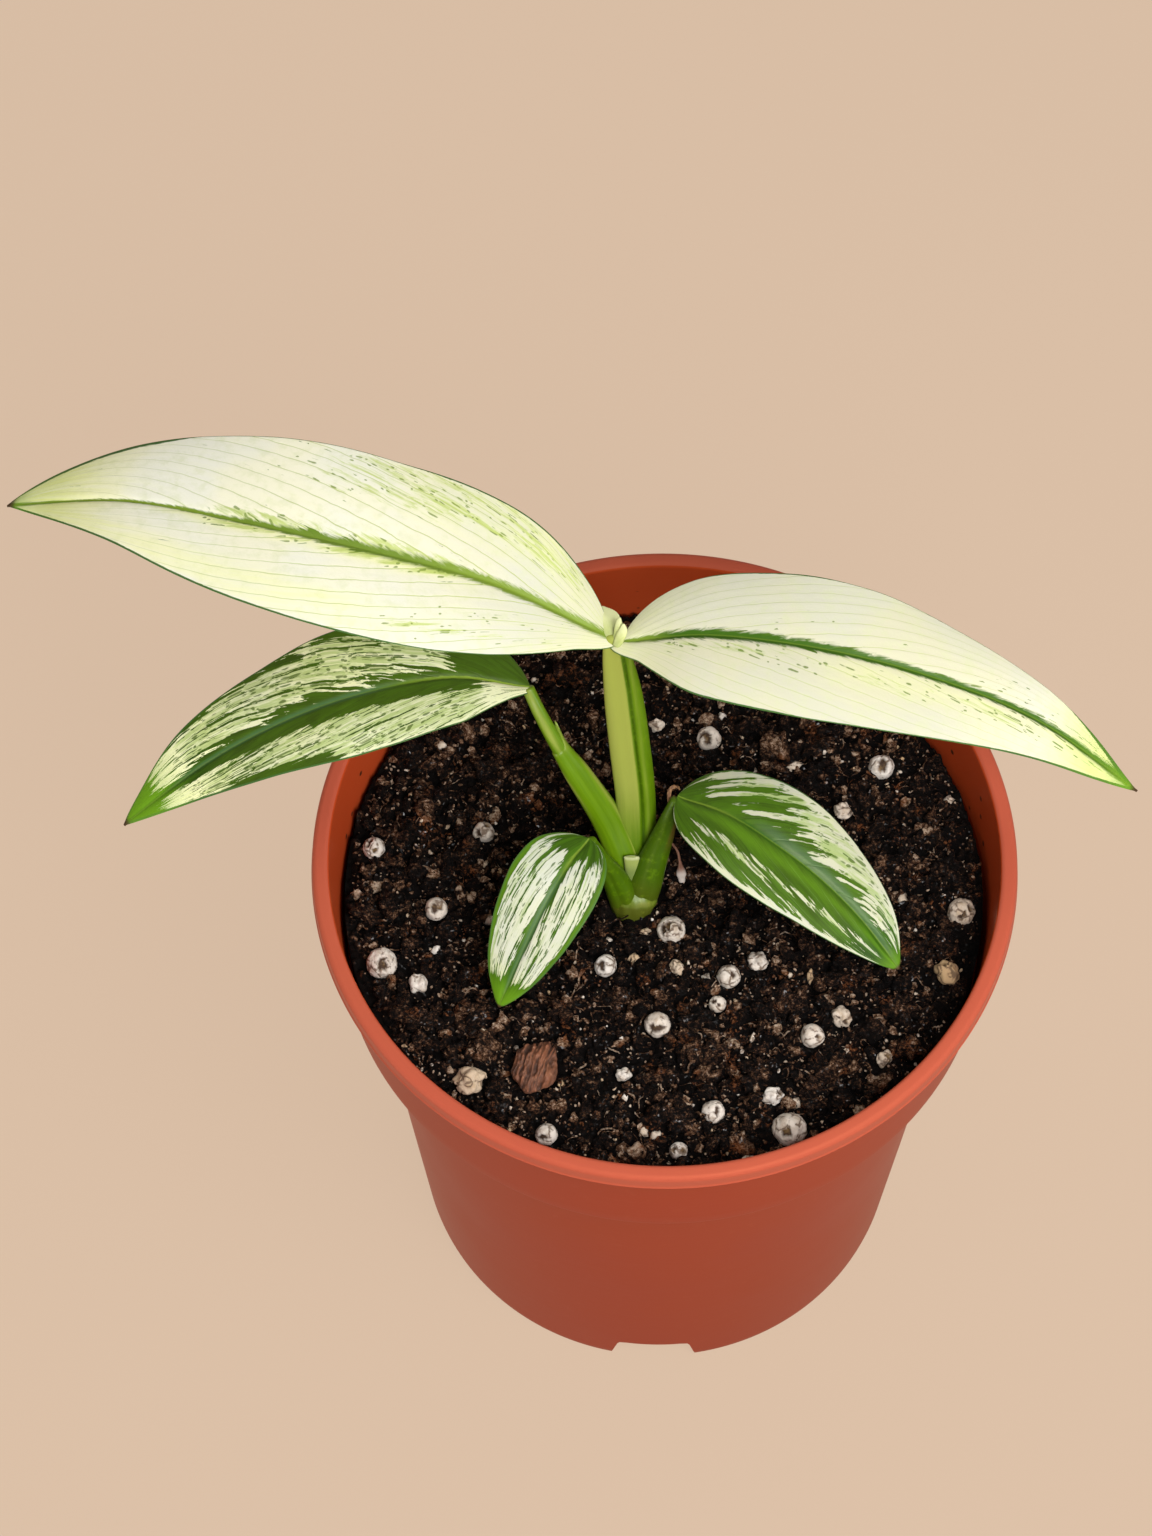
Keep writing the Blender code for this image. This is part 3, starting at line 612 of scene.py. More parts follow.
def paint_right(t, u, front):
    back = 1 - front
    lower = 0.6 + 0.4 * fade(u, 0.3, 0.48) + 0.3 * fade(t, 0.06, 0.16)
    lower += 0.14 * near(u, 0.7, 0.12) - 0.6 * ease(u, 0.9, 0.98) - 0.2 * near(u, 0.56, 0.07)
    upper = 0.9 - 0.36 * ease(u, 0.08, 0.22) - 0.16 * ease(u + 0.35 * ease(t, 0.2, 0.6), 0.62, 0.85)
    upper -= 0.26 * ease(u, 0.78, 0.92) * ease(t, 0.2, 0.4)
    upper += 0.45 * ease(u, 0.93, 0.99) * fade(t, 0.15, 0.3) + 0.2 * fade(t, 0.04, 0.14)
    dark = front * lower + back * upper + 0.6 * ease(t, 0.9, 0.98)
    band = np.interp(t, [0, 0.1, 0.3, 0.9, 1], [0.12, 0.18, 0.4, 0.35, 0.2])
    speck = (0.8 + 0.1 * back) * window(t, 0.12, 0.2, 0.9, 1.0) * window(u, 0.3, 0.45, 0.86, 0.96)
    return dict(dark=dark, wash=0.1, speck=speck, band=band,
                rim=np.where(front > 0, 0.05, 0.16 * fade(t, 0.3, 0.5) + 0.04),
                yellow=0.45 * ease(t, 0.9, 1.0) + 0.2 * front * near(u, 0.22, 0.1), olive=0.6 * fade(t, 0.12, 0.3),
                teal=0.6 * back * window(t, 0.25, 0.4, 0.85, 0.95) * near(u, 0.12, 0.09), hair=0.3)


def paint_front(t, u, front):
    stripes = 0.33 + 0.34 * fade(u, 0.05, 0.2) + 0.24 * near(u, 0.5, 0.07)
    dark = stripes + 0.8 * fade(t, 0.05, 0.24) * fade(u, 0.5, 0.9) + 0.6 * ease(u, 0.86, 0.94)
    dark += 0.8 * ease(t, 0.82, 0.93) + 0.4 * fade(u, 0.03, 0.1) * window(t, 0.0, 0.05, 0.9, 1.0)
    band = np.interp(t, [0, 0.1, 0.3, 0.85, 1], [0.12, 0.2, 0.42, 0.4, 0.15])
    return dict(dark=dark, wash=0.1 + 0.3 * ease(t, 0.7, 0.9), speck=0.65 * window(u, 0.2, 0.3, 0.9, 1.0),
                band=band, rim=0.25, yellow=0.6 * ease(t, 0.8, 0.95) + 0.2 * ease(u, 0.85, 0.95),
                olive=0.8 * fade(t, 0.15, 0.35), teal=0.6 * near(u, 0.02, 0.05) * window(t, 0.25, 0.4, 0.85, 0.95),
                hair=0.2)


# The outline of each blade is the CAD part's: half, base and tip are the half widths and the powers by which they
# narrow, to the left and to the right of the midrib. Roll turns the blade about its midrib, in degrees. Front is
# the side that is nearer the camera. Wave is the margin's rise in millimetres, how many waves there are along the
# blade, and where they start. Drift is how far along the blade a vein runs from midrib to margin, on the nearer
# half and on the other, veins how many streaks fit in a unit of drift, and runs how many follow each other. Cream
# is the blade's pale colour. Heel is painted shade that darkens its base, and a heel below zero paints light there
# instead. Lift is painted light that brightens its outer end, and shade is how light its green is. Pinch narrows
# the nearer half at its base, and corner draws that half's base back to a point, in millimetres. Paint gives its
# tints.
LEAVES = {
    "leaf_top_left": dict(
        spine=[(-9.9, 18.8, 160.2), (-28.6, 24.3, 168.0), (-48.8, 28.2, 172.2), (-70.0, 33.5, 172.5),
               (-90.0, 39.5, 169.0), (-110.0, 43.8, 160.0)],
        half=(16.6, 18.5), base=(0.72, 0.62), tip=(1.1, 0.78), roll=3.0,
        front=1, wave=(0.35, 2.3, 0.4), drift=(0.66, 0.66), veins=30, runs=7,
        cream=(0.87, 0.84, 0.68), shade=1.0, heel=0.3, lift=0.1, pinch=0.12, corner=2.4, paint=paint_top_left),
    "leaf_top_right": dict(
        spine=[(-7.4, 17.7, 160.2), (6.6, 15.8, 166.0), (25.0, 11.9, 168.4), (43.0, 8.3, 165.4),
               (61.0, 4.7, 156.9), (78.0, -1.0, 143.0)],
        half=(12.9, 13.2), base=(0.56, 0.6), tip=(1.02, 0.95), roll=0.0,
        front=-1, wave=(0.3, 2.0, 1.4), drift=(0.62, 0.7), veins=28, runs=7,
        cream=(0.615, 0.59, 0.44), shade=1.0, heel=-0.12, lift=0.22, pinch=0.3, corner=2.4, paint=paint_top_right),
    "leaf_left": dict(
        spine=[(-22.9, 20.0, 140.4), (-35.8, 19.5, 144.9), (-50.0, 16.4, 145.4), (-63.6, 13.0, 141.8),
               (-77.5, 8.2, 135.2), (-91.2, 0.9, 127.0)],
        half=(11.0, 12.6), base=(0.72, 0.6), tip=(1.0, 0.82), roll=0.0,
        front=1, wave=(0.45, 2.6, 2.2), drift=(0.75, 0.7), veins=23, runs=6,
        cream=(0.77, 0.77, 0.55), shade=0.6, heel=0.1, lift=0.15, pinch=0.35, corner=1.0, paint=paint_left),
    "leaf_right": dict(
        spine=[(2.2, 7.6, 124.6), (10.4, 3.2, 126.8), (18.6, -2.2, 126.0), (26.6, -7.3, 122.4),
               (33.6, -12.9, 117.8), (39.5, -19.0, 112.5)],
        half=(10.5, 10.3), base=(0.5, 0.5), tip=(0.8, 0.8), roll=0.0,
        front=-1, wave=(0.35, 2.2, 0.8), drift=(0.7, 0.42), veins=22, runs=3.2,
        cream=(0.55, 0.545, 0.43), shade=0.85, heel=0.1, lift=0.0, pinch=0.0, corner=0.0, paint=paint_right),
    "leaf_front": dict(
        spine=[(-12.9, 0.9, 121.8), (-16.0, -4.0, 123.2), (-19.2, -9.3, 122.0), (-22.4, -14.6, 118.6),
               (-25.6, -20.0, 113.9), (-28.1, -24.6, 109.4)],
        half=(7.6, 8.4), base=(0.5, 0.5), tip=(0.8, 0.8), roll=0.0,
        front=1, wave=(0.2, 2.0, 0.0), drift=(2.0, 2.0), veins=8, runs=2.4,
        cream=(0.62, 0.62, 0.51), shade=0.9, heel=0.1, lift=0.0, pinch=0.0, corner=0.0, paint=paint_front),
}


def blade_sheet(spec, t, s):
    """The blade's middle surface over a grid, its normals, and the distances from midrib and margin."""
    spine = np.array(spec["spine"])
    point, tangent = through(spine, t), tangents(spine, t)
    side = unit(np.cross((0.0, 0.0, 1.0), tangent))
    roll = math.radians(spec["roll"])
    side = side * math.cos(roll) + np.cross(tangent, side) * math.sin(roll)
    up = unit(np.cross(tangent, side))
    left, right = (half_width(t, *half)[:, None] for half in zip(spec["half"], spec["base"], spec["tip"]))
    width = np.maximum(np.where(s > 0, left, right), 0.16)
    wobble = np.array([[noise.noise(Vector((a * 9, b * 3.0, spec["half"][0]))) for b in (-1, 1)] for a in t])
    width = width * (1 + 0.012 * np.where(s > 0, wobble[:, 1:], wobble[:, :1]))
    near_half = s * spec["front"] > 0
    heel = fade(t, 0.0, 0.2)[:, None] * near_half
    width = width * (1 - spec["pinch"] * heel)
    start, bend = math.radians(LEAF_FOLD), math.radians(LEAF_CURL)
    u, sign = np.abs(s), np.where(s > 0, 1.0, -1.0)
    across = width * (np.sin(start + bend * u) - math.sin(start)) / bend
    above = width * (math.cos(start) - np.cos(start + bend * u)) / bend
    slope = start + bend * u
    normal = up[:, None] * np.cos(slope)[..., None] - side[:, None] * (np.sin(slope) * sign)[..., None]
    rise, count, phase = spec["wave"]
    waves = rise * u ** 2 * np.sin(2 * math.pi * count * t[:, None] + phase + 1.3 * sign)
    waves = waves * window(t, 0.0, 0.15, 0.9, 1.0)[:, None]
    drift = np.where(near_half, *spec["drift"])
    q = t[:, None] - drift * u ** 1.2
    folds = 0.022 * np.cos(2 * math.pi * q * spec["veins"] / 3) * window(u, 0.02, 0.2, 0.8, 1.0)
    lift = waves + folds * window(t, 0.0, 0.1, 0.85, 1.0)[:, None]
    corner = spec["corner"] * u * fade(t, 0.0, 0.05)[:, None] * near_half
    points = point[:, None] + side[:, None] * (across * sign)[..., None] + up[:, None] * above[..., None]
    points = points - tangent[:, None] * corner[..., None]
    return points + normal * lift[..., None], normal, across, width * (1 - u), q, side


def make_leaf(name, spec, mat):
    t = 0.5 - 0.5 * np.cos(math.pi * np.linspace(0.0, 1.0, BLADE_ROWS))
    t = 0.35 * t + 0.65 * np.linspace(0.0, 1.0, BLADE_ROWS)
    s = np.concatenate([-HALF_COLUMNS[:0:-1], HALF_COLUMNS])[None, :]
    sheet, normal, across, margin, q, side = blade_sheet(spec, t, s)
    shape = across.shape
    u, sign = np.broadcast_to(np.abs(s), shape), np.broadcast_to(np.where(s > 0, 1.0, -1.0), shape)
    thick = (BLADE_MARGIN + (BLADE_MIDDLE - BLADE_MARGIN) * (1 - u ** 2)) / 2
    groove = GROOVE_DEPTH * near(across, 0, 0.55) * fade(t, 0.85, 1.0)[:, None] * ease(t, 0.0, 0.04)[:, None]
    ridge = RIDGE_HEIGHT * near(across, 0, 0.75) * ((1 - t) ** 0.6)[:, None]
    top = sheet + normal * (thick - groove)[..., None]
    under = sheet - normal * (thick + ridge)[..., None]
    out = side[:, None] * BLADE_ROUND
    rings = np.concatenate([top, sheet[:, -1:] + out, under[:, ::-1], sheet[:, :1] - out], 1)
    points, faces = capped_tube(rings)

    front = (sign * spec["front"] > 0).astype(float)
    paint = spec["paint"](t[:, None], u, front)

    def ring(values, below=None):
        """Values over the top as values round the whole cross-section and the two end hubs."""
        values = np.broadcast_to(values, shape)
        below = values if below is None else np.broadcast_to(below, shape)
        whole = np.concatenate([values, values[:, -1:], below[:, ::-1], values[:, :1]], 1)
        return np.concatenate([whole.ravel(), [whole[0, 0], whole[-1, 0]]])

    def vector(*columns):
        """Three such rings side by side. A pair stands for values over the top and underneath."""
        return np.stack([ring(c) if not isinstance(c, tuple) else ring(*c) for c in columns], -1)

    brown = ease(t, 0.982, 0.994)[:, None]
    attributes = {
        "vein": vector(q * spec["veins"], t[:, None] * spec["runs"], spec["half"][0] + 5 * (sign > 0)),
        "lines": vector(across * sign, across / paint["band"], margin / np.maximum(paint["rim"], 0.02)),
        "paint": vector(paint["dark"], paint["wash"], paint["speck"]),
        "tips": vector(paint["yellow"], brown, paint["olive"]),
        "tint": vector(paint["teal"], (np.zeros(shape), np.ones(shape)), paint["hair"] * fade(t, 0.7, 0.92)[:, None]),
        "shade": ring(spec["shade"]),
        # The cream carries painted shade toward the base and painted light toward the outer end.
        "cream": ring((1 - spec["heel"] * fade(t, 0.02, 0.5) + spec["lift"] * ease(t, 0.55, 0.9))[:, None])[:, None]
        * spec["cream"],
    }
    add_piece(name.replace("leaf", "blade"), points, faces, mat, [name], attributes, sharp=60)


# Colours of the blades, as the light of the scene shows them.
BLACK = (0.0, 0.0, 0.0)
COOLER = (0.95, 0.97, 1.06)
WASH = (0.88, 0.90, 0.32)
MOTTLE = (0.58, 0.63, 0.34)
VEIN_LINE = (0.43, 0.51, 0.11)
GREEN_DEEP = (0.012, 0.053, 0.002)
GREEN_MID = (0.050, 0.150, 0.004)
BAND_DARK = (0.035, 0.105, 0.006)
BAND_OLIVE = (0.19, 0.28, 0.03)
RIM_GREEN = (0.055, 0.13, 0.03)
MIST_GREEN = (0.50, 0.60, 0.14)
MIST_DARK = (0.17, 0.32, 0.035)
TIP_GREEN = (0.15, 0.33, 0.012)
TIP_BROWN = (0.06, 0.032, 0.015)
# Painted sheen: the colour of a blue-grey reflection laid along the midrib.
PAINTED_SHEEN_GREY = (0.12, 0.20, 0.13)
BLADE_SHINE = (0.95, 1.0, 0.7)
UNDER = (0.45, 0.55, 0.27)


def leaf_material():
    """Cream blade with green streaks, dashes and specks that follow the veins, a painted sheen along the midrib, and
    painted shade and light in its cream.
    """
    g = Graph("variegated_blade", {"Roughness": 0.4, "Specular IOR Level": 0.2, "Specular Tint": BLADE_SHINE})
    vein, place = g.attribute("vein"), g.position()
    rib, band, rim = g.split("lines")
    dark, wash, speck = g.split("paint")
    yellow, brown, olive = g.split("tips")
    teal, under, hair = g.split("tint")

    drift = g.noise(place, 260, 2, 0.5, output=1)
    flow = g.vector("MULTIPLY_ADD", drift, (0.8, 0.5, 0.0), vein)
    broad = g.noise(flow, 1.0, 1.5, 0.5)
    ragged = g.streaks(flow, (2.3, 5.5, 1.0), 3, 0.65)
    streak = g.mul(broad, 0.62, g.mul(ragged, 0.38))
    green = g.step(g.mul(dark, 0.5, streak), 0.735, 0.765)
    soft = g.streaks(flow, (0.8, 1.3, 2.0), 3, 0.6)
    washed = g.math("MULTIPLY", wash, g.mul(soft, 1.6, 0.1), clamp=True)
    cool = g.noise(place, 60, 2, 0.5)

    # This cream already holds the painted shade of the base and the painted light of the outer end.
    cream = g.attribute("cream")
    g.colour = g.mix(g.step(cool, 0.4, 0.62), cream, g.vector("MULTIPLY", cream, COOLER))
    mottle = g.step(g.noise(place, 480, 3, 0.6), 0.45, 0.72)
    g.lay(g.mul(mottle, 0.3), MOTTLE)
    g.lay(washed, WASH)
    line = g.math("PINGPONG", g.mul(soft, 0.3, g.parts(flow)[0]), 1.5)
    line = g.fall(line, 0.02, 0.15)
    g.lay(g.mul(g.mul(line, hair), 0.8), VEIN_LINE)

    patchy = g.mul(soft, 0.6, g.mul(ragged, 0.4))
    mist = g.step(g.mul(speck, 0.3, patchy), 0.67, 0.85)
    mist = g.mul(mist, g.mul(g.step(speck, 0.03, 0.3), g.mul(hair, 0.3, 0.55)))
    g.lay(mist, g.mix(hair, MIST_DARK, MIST_GREEN))
    fleck_place = g.vector("MULTIPLY", flow, (1.1, 8.0, 1.0))
    reach = g.mul(hair, 0.25, g.cells(fleck_place, 1.0))
    fleck = g.fall(reach, 0.42, 0.56)
    chance = g.parts(g.cells(fleck_place, 1.0, output="Color"))[0]
    row = g.streaks(flow, (1.2, 0.25, 1.0), 1, 0.5)
    cluster = g.mul(speck, g.mul(g.step(row, 0.4, 0.62), 1.5))
    fleck = g.mul(fleck, g.math("LESS_THAN", chance, cluster))

    tone = g.streaks(flow, (0.5, 1.6, 1.0), 3, 0.6)
    thread = g.streaks(flow, (5.0, 1.5, 1.0), 2, 0.5)
    leaf_green = g.mix(g.step(g.mul(thread, 0.5, tone), 0.52, 0.98), GREEN_DEEP, GREEN_MID)
    leaf_green = g.mix(g.value("shade"), BLACK, leaf_green)
    leaf_green = g.mix(yellow, leaf_green, TIP_GREEN)
    g.lay(g.mul(fleck, 0.8), g.mix(hair, leaf_green, BAND_OLIVE))
    g.lay(green, g.mix(g.mul(hair, 0.6), leaf_green, BAND_OLIVE))

    fray = g.mul(ragged, 2.2, g.math("SUBTRACT", band, 1.1))
    midrib = g.fall(fray, 0.55, 1.5)
    g.lay(midrib, g.mix(olive, BAND_DARK, BAND_OLIVE))
    edge = g.mul(ragged, 0.8, g.math("SUBTRACT", rim, 0.4))
    g.lay(g.fall(edge, 0.75, 1.15), RIM_GREEN)
    g.lay(g.mul(yellow, 0.75), TIP_GREEN)
    hairline = g.fall(g.math("ABSOLUTE", rib), 0.06, 0.2)
    g.lay(g.mul(hairline, 0.35), BAND_OLIVE)
    # Painted sheen: a blue-grey reflection of the light along the midrib, painted into the colour.
    g.lay(g.mul(teal, 0.6), PAINTED_SHEEN_GREY)
    g.lay(g.mul(under, 0.5), UNDER)
    g.lay(brown, TIP_BROWN)

    pores = g.mul(g.noise(place, 650, 2, 0.5), 0.8, g.mul(g.noise(place, 2200, 2, 0.6), 0.35))
    height = g.mul(line, -0.8, pores)
    rough = g.mul(cool, 0.16, 0.3)
    return g.finish(rough, height, 0.25, 0.00025)


# ---------------------------------------------------------------- stalks and crown

# The size of the dry pieces' lumps, and where their noise starts.
HUSK_GRAIN = 1.1
HUSK_OFFSET = (11.1, 3.9, 2.1)


def swept(spine, width, depth, wide_axis, t, around, outline, ends):
    """Rings of a stalk over grids of t and of angles, and each point's place across in millimetres."""
    spine = np.array(spine)
    flat = t.ravel()
    tangent = tangents(spine, flat)
    wide = np.array(wide_axis, float)
    wide = unit(wide - tangent * (tangent @ wide)[:, None])
    deep = np.cross(tangent, wide)
    cos, sin = np.cos(around), np.sin(around)
    x = (through(width, flat) / 2).reshape(t.shape) * np.sign(cos) * np.abs(cos) ** 0.92
    y = (through(depth, flat) / 2).reshape(t.shape) * np.sign(sin) * np.abs(sin) ** 0.92
    if outline:
        x, y = outline(t, x, y)
    for row, share in zip((0, -1), ends):
        x[row], y[row] = x[row] * share, y[row] * share
    point = through(spine, flat) + wide * x.ravel()[:, None] + deep * y.ravel()[:, None]
    return point.reshape(*t.shape, 3), x, y


def make_stalk(name, mat, spine, width, depth, wide_axis=(1.0, 0.0, 0.0), slot="petiole_green", nodes=(),
               grid=(60, 56), outline=None, paint=None, ends=(0.75, 0.75), last=None, roughness=0.0):
    """A stalk that tapers to these shares at its ends; last gives how far along the spine each side of it runs."""
    rows, sides = grid
    around = np.linspace(-math.pi, math.pi, sides, endpoint=False)[None, :] + np.zeros((rows, 1))
    along = np.linspace(0.0, 1.0, rows)
    along = 0.5 * along + 0.5 * (0.5 - 0.5 * np.cos(math.pi * along))
    t = along[:, None] * (last(around) if last else np.ones((1, sides)))
    rings, x, y = swept(spine, width, depth, wide_axis, t, around, outline, ends)
    if roughness:
        swell = noise_over(rings.reshape(-1, 3) / HUSK_GRAIN + HUSK_OFFSET).reshape(t.shape)
        middle = rings.mean(1, keepdims=True)
        rings = middle + (rings - middle) * (1 + roughness * swell)[..., None]
    points, faces = capped_tube(rings)
    attributes = {"tint": paint(t, x, y) if paint else (0.0, 0.0, 0.0),
                  "flow": (x * 1.6 + 9 * (y > 0), t * 5.0, sum(map(ord, name)) % 31)}
    for key, columns in attributes.items():
        column = np.stack([np.broadcast_to(v, t.shape) for v in columns], -1).reshape(-1, 3)
        attributes[key] = np.vstack([column, np.zeros((2, 3))])
    add_piece(name, points, faces, mat, nodes, attributes, sharp=65)


# Where the sheath of the middle left blade ends along its stalk, and how much higher its free point stands.
SHEATH_END = 0.64
SHEATH_POINT = 0.12


# An outline moves the points (x, y) of a cross-section at t along the stalk, where -y faces the camera. A painter
# gives the shares of dark green, pale and red there.


def top_outline(t, x, y):
    """A flat face toward the camera with a crease down its right side and a rolled edge beyond it."""
    crease = 0.5 * near(x, 1.05, 0.34) + 0.16 * near(x, -0.8, 0.9)
    return x, y + (y < 0) * crease * window(t, 0.0, 0.15, 0.72, 0.82)


def paint_top(t, x, y):
    facing = (y < 0.9).astype(float)
    dark = facing * 0.9 * near(x, 1.05, 0.32) * window(t, 0.0, 0.1, 0.74, 0.84)
    dark += facing * 0.35 * near(x, 2.9, 0.5) * fade(t, 0.3, 0.8) + 0.35 * fade(t, 0.0, 0.2)
    pale = facing * fade(x, 0.4, 0.85) * ease(t, -0.05, 0.42) + 0.3 * facing * near(x, 2.0, 0.5)
    return dark, np.clip(pale + 0.3 * (1 - facing) + ease(t, 0.76, 0.86), 0, 1), 0.0


def stalk_outline(t, x, y):
    """A shallow groove down the side that faces up."""
    return x, y + (y < 0) * 0.22 * near(x, 0.1, 0.5) * window(t, 0.0, 0.3, 0.9, 1.0)


def sheath_end(around):
    return SHEATH_END + SHEATH_POINT * near(around[:1], 0.15, 0.7)


def sheath_outline(t, x, y):
    """Wraps the stalk closely, and flares on one side where its free point stands off."""
    flare = 0.35 * ease(t, SHEATH_END, SHEATH_END + SHEATH_POINT) * (x > 0)
    snug = 1 - 0.16 * ease(t, SHEATH_END - 0.12, SHEATH_END)
    return x * snug + flare, y * snug + (y < 0) * 0.16 * near(x, 0.1, 0.5) * ease(t, 0.1, 0.4)


def paint_sheath(t, x, y):
    edge = 0.55 * near(x, 2.2, 0.35) + 0.5 * near(x, -2.1, 0.3) * ease(t, 0.3, 0.5)
    return 0.1 * near(x, 0.9, 0.6) + 0.25 * fade(t, 0.0, 0.3), edge + 0.4 * ease(t, 0.6, 0.66), 0.0


def paint_slim(t, x, y):
    return 0.1, 0.55 * near(x, -0.2, 0.7) * ease(t, 0.55, 0.7), 0.0


def paint_right_stalk(t, x, y):
    red = 0.8 * ease(x, 0.5, 1.2) * window(t, 0.5, 0.72, 1.0, 1.1) * (y < 0.5)
    scar = 0.9 * fade(t, 0.02, 0.12) * ease(x, -0.6, 0.8)
    # The even dark share is partly the stalk's own green and partly painted shade, for the shade it stands in.
    return 0.82, 0.3 * near(x, -0.8, 0.6) + scar, red + 0.2 * fade(t, 0.1, 0.4)


def paint_front_stalk(t, x, y):
    return 0.68, 0.2 * near(x, 0.3, 0.7) * ease(t, 0.3, 0.8), 0.2 * fade(t, 0.1, 0.4)


def crown_outline(t, x, y):
    """Low swellings where old leaves were attached."""
    swell = 1 + 0.03 * np.sin(3.1 * x + 9 * t) * window(t, 0.5, 0.6, 0.9, 1.0)
    return x * swell, y * swell


def paint_crown(t, x, y):
    scar = near(t, 0.78, 0.03) * near(x, 1.9, 1.2) + 0.5 * near(x, 0.2, 0.4) * near(t, 0.72, 0.05)
    # Painted shade: the dark share rises toward the mix, low on the crown where it meets the soil.
    dark = 0.42 + 0.5 * fade(t, 0.66, 0.84)
    return dark, np.clip(0.35 + 0.65 * scar, 0, 1), 0.08 + 0.25 * fade(t, 0.66, 0.84)


def paint_membrane(t, x, y):
    return 0.95 - 0.6 * ease(t, 0.4, 0.9), ease(t, 0.88, 0.96), 0.0


def paint_bud(t, x, y):
    return 0.12 * near(x, 0.0, 0.5) + 0.35 * fade(t, 0.0, 0.4), 0.4 + 0.5 * ease(t, 0.3, 0.8), 0.0


def paint_root(t, x, y):
    return 0.0, ease(t, 0.62, 0.8), 0.0


# Each stalk has a spine, its width and depth at even steps along it, the way its width lies, the CAD nodes that it
# stands for, and how many rows and sides its mesh has.
LEFT_SPINE = [(-5.6, -0.6, 105.0), (-6.8, 3.0, 110.5), (-9.6, 7.2, 116.8), (-14.2, 10.8, 125.0),
              (-18.4, 14.0, 132.0), (-21.2, 17.0, 137.0), (-23.2, 20.0, 140.4)]
STALKS = {
    "stalk_top": dict(
        spine=[(-4.6, 2.6, 108.0), (-4.9, 9.2, 120.0), (-6.1, 13.0, 134.0), (-7.3, 15.8, 147.0),
               (-8.6, 17.9, 159.0), (-8.4, 18.9, 160.2)],
        width=[6.4, 6.8, 6.9, 6.3, 4.0, 1.3], depth=[4.4, 3.8, 3.4, 3.0, 1.8, 0.8], wide_axis=(1.0, 0.1, 0.1),
        slot="petiole_pale", nodes=["petiole_top"], grid=(80, 72), outline=top_outline, paint=paint_top,
        ends=(0.8, 0.86)),
    "stalk_left": dict(
        spine=LEFT_SPINE, width=[4.6, 4.8, 4.4, 3.5, 2.7, 2.3, 2.1], depth=[4.0, 4.0, 3.6, 3.0, 2.6, 2.2, 2.1],
        wide_axis=(1.0, 0.6, 0.6), nodes=["petiole_left"], grid=(70, 48), outline=stalk_outline,
        paint=paint_slim, ends=(0.8, 0.8)),
    "stalk_left_sheath": dict(
        spine=LEFT_SPINE, width=[5.6, 5.8, 5.5, 4.6, 3.7, 3.3, 3.1], depth=[4.4, 4.5, 4.2, 3.7, 3.2, 2.8, 2.8],
        wide_axis=(1.0, 0.6, 0.6), outline=sheath_outline, paint=paint_sheath, ends=(0.8, 0.86),
        last=sheath_end),
    "stalk_right": dict(
        spine=[(-3.9, -1.7, 105.4), (-3.2, -0.4, 108.8), (-2.2, 1.2, 112.2), (-0.5, 3.6, 117.0),
               (0.9, 5.5, 121.2), (2.2, 7.2, 124.4)],
        width=[5.6, 5.9, 5.2, 4.0, 3.0, 2.4], depth=[5.0, 5.2, 4.4, 3.2, 2.6, 2.2],
        nodes=["petiole_right"], grid=(50, 48), outline=stalk_outline, paint=paint_right_stalk),
    "stalk_front": dict(
        spine=[(-6.5, -2.9, 103.8), (-7.3, -1.9, 107.8), (-8.9, -0.9, 112.3), (-10.9, -0.2, 117.0),
               (-12.8, 0.8, 121.6)],
        width=[5.0, 5.2, 4.1, 2.9, 2.2], depth=[4.6, 4.6, 3.6, 2.6, 2.0], wide_axis=(0.8, 0.0, 0.6),
        nodes=["petiole_front"], grid=(50, 48), outline=stalk_outline, paint=paint_front_stalk),
    "crown_stub": dict(
        spine=[(-5.5, -4.4, 86.0), (-5.5, -4.2, 95.0), (-5.5, -3.6, 103.0), (-5.3, -2.4, 105.6), (-5.2, -0.6, 107.6)],
        width=[4.4, 4.8, 6.0, 8.2, 6.4], depth=[4.4, 4.6, 5.0, 5.6, 4.0], nodes=["crown"], grid=(70, 56),
        outline=crown_outline, paint=paint_crown, ends=(0.6, 0.4)),
}
BRACTS = {
    "crown_membrane": dict(
        spine=[(-5.3, -1.0, 108.6), (-5.5, 0.3, 111.6), (-5.6, 1.5, 114.2)], width=[2.0, 2.5, 2.7],
        depth=[1.8, 1.5, 0.7], wide_axis=(1.0, 0.0, 0.1), grid=(24, 32), paint=paint_membrane, ends=(0.4, 0.9)),
    "bud_fold": dict(
        spine=[(-8.8, 17.9, 159.9), (-9.3, 20.0, 160.4), (-9.9, 22.1, 160.6), (-11.2, 24.2, 160.3)],
        width=[2.6, 3.4, 3.8, 1.2], depth=[1.4, 1.1, 0.8, 0.4], wide_axis=(1.0, 0.2, 0.0), nodes=["bud"],
        grid=(30, 36), paint=paint_bud, ends=(0.6, 0.3)),
    "bud_lobe_1": dict(
        spine=[(-8.4, 17.9, 160.2), (-8.1, 19.0, 161.6), (-8.0, 19.9, 162.8), (-7.9, 20.4, 163.6)],
        width=[1.4, 1.5, 1.1, 0.4], depth=[1.0, 0.9, 0.7, 0.4], wide_axis=(1.0, -0.3, 0.0), grid=(24, 28),
        paint=paint_bud, ends=(0.6, 0.3)),
    "bud_lobe_2": dict(
        spine=[(-8.5, 17.0, 159.9), (-7.8, 17.9, 161.4), (-7.3, 18.6, 162.6), (-7.3, 19.3, 163.5)],
        width=[1.3, 1.7, 1.4, 0.4], depth=[0.9, 0.9, 0.7, 0.4], wide_axis=(1.0, -0.2, 0.2), grid=(24, 28),
        paint=paint_bud, ends=(0.6, 0.3)),
}
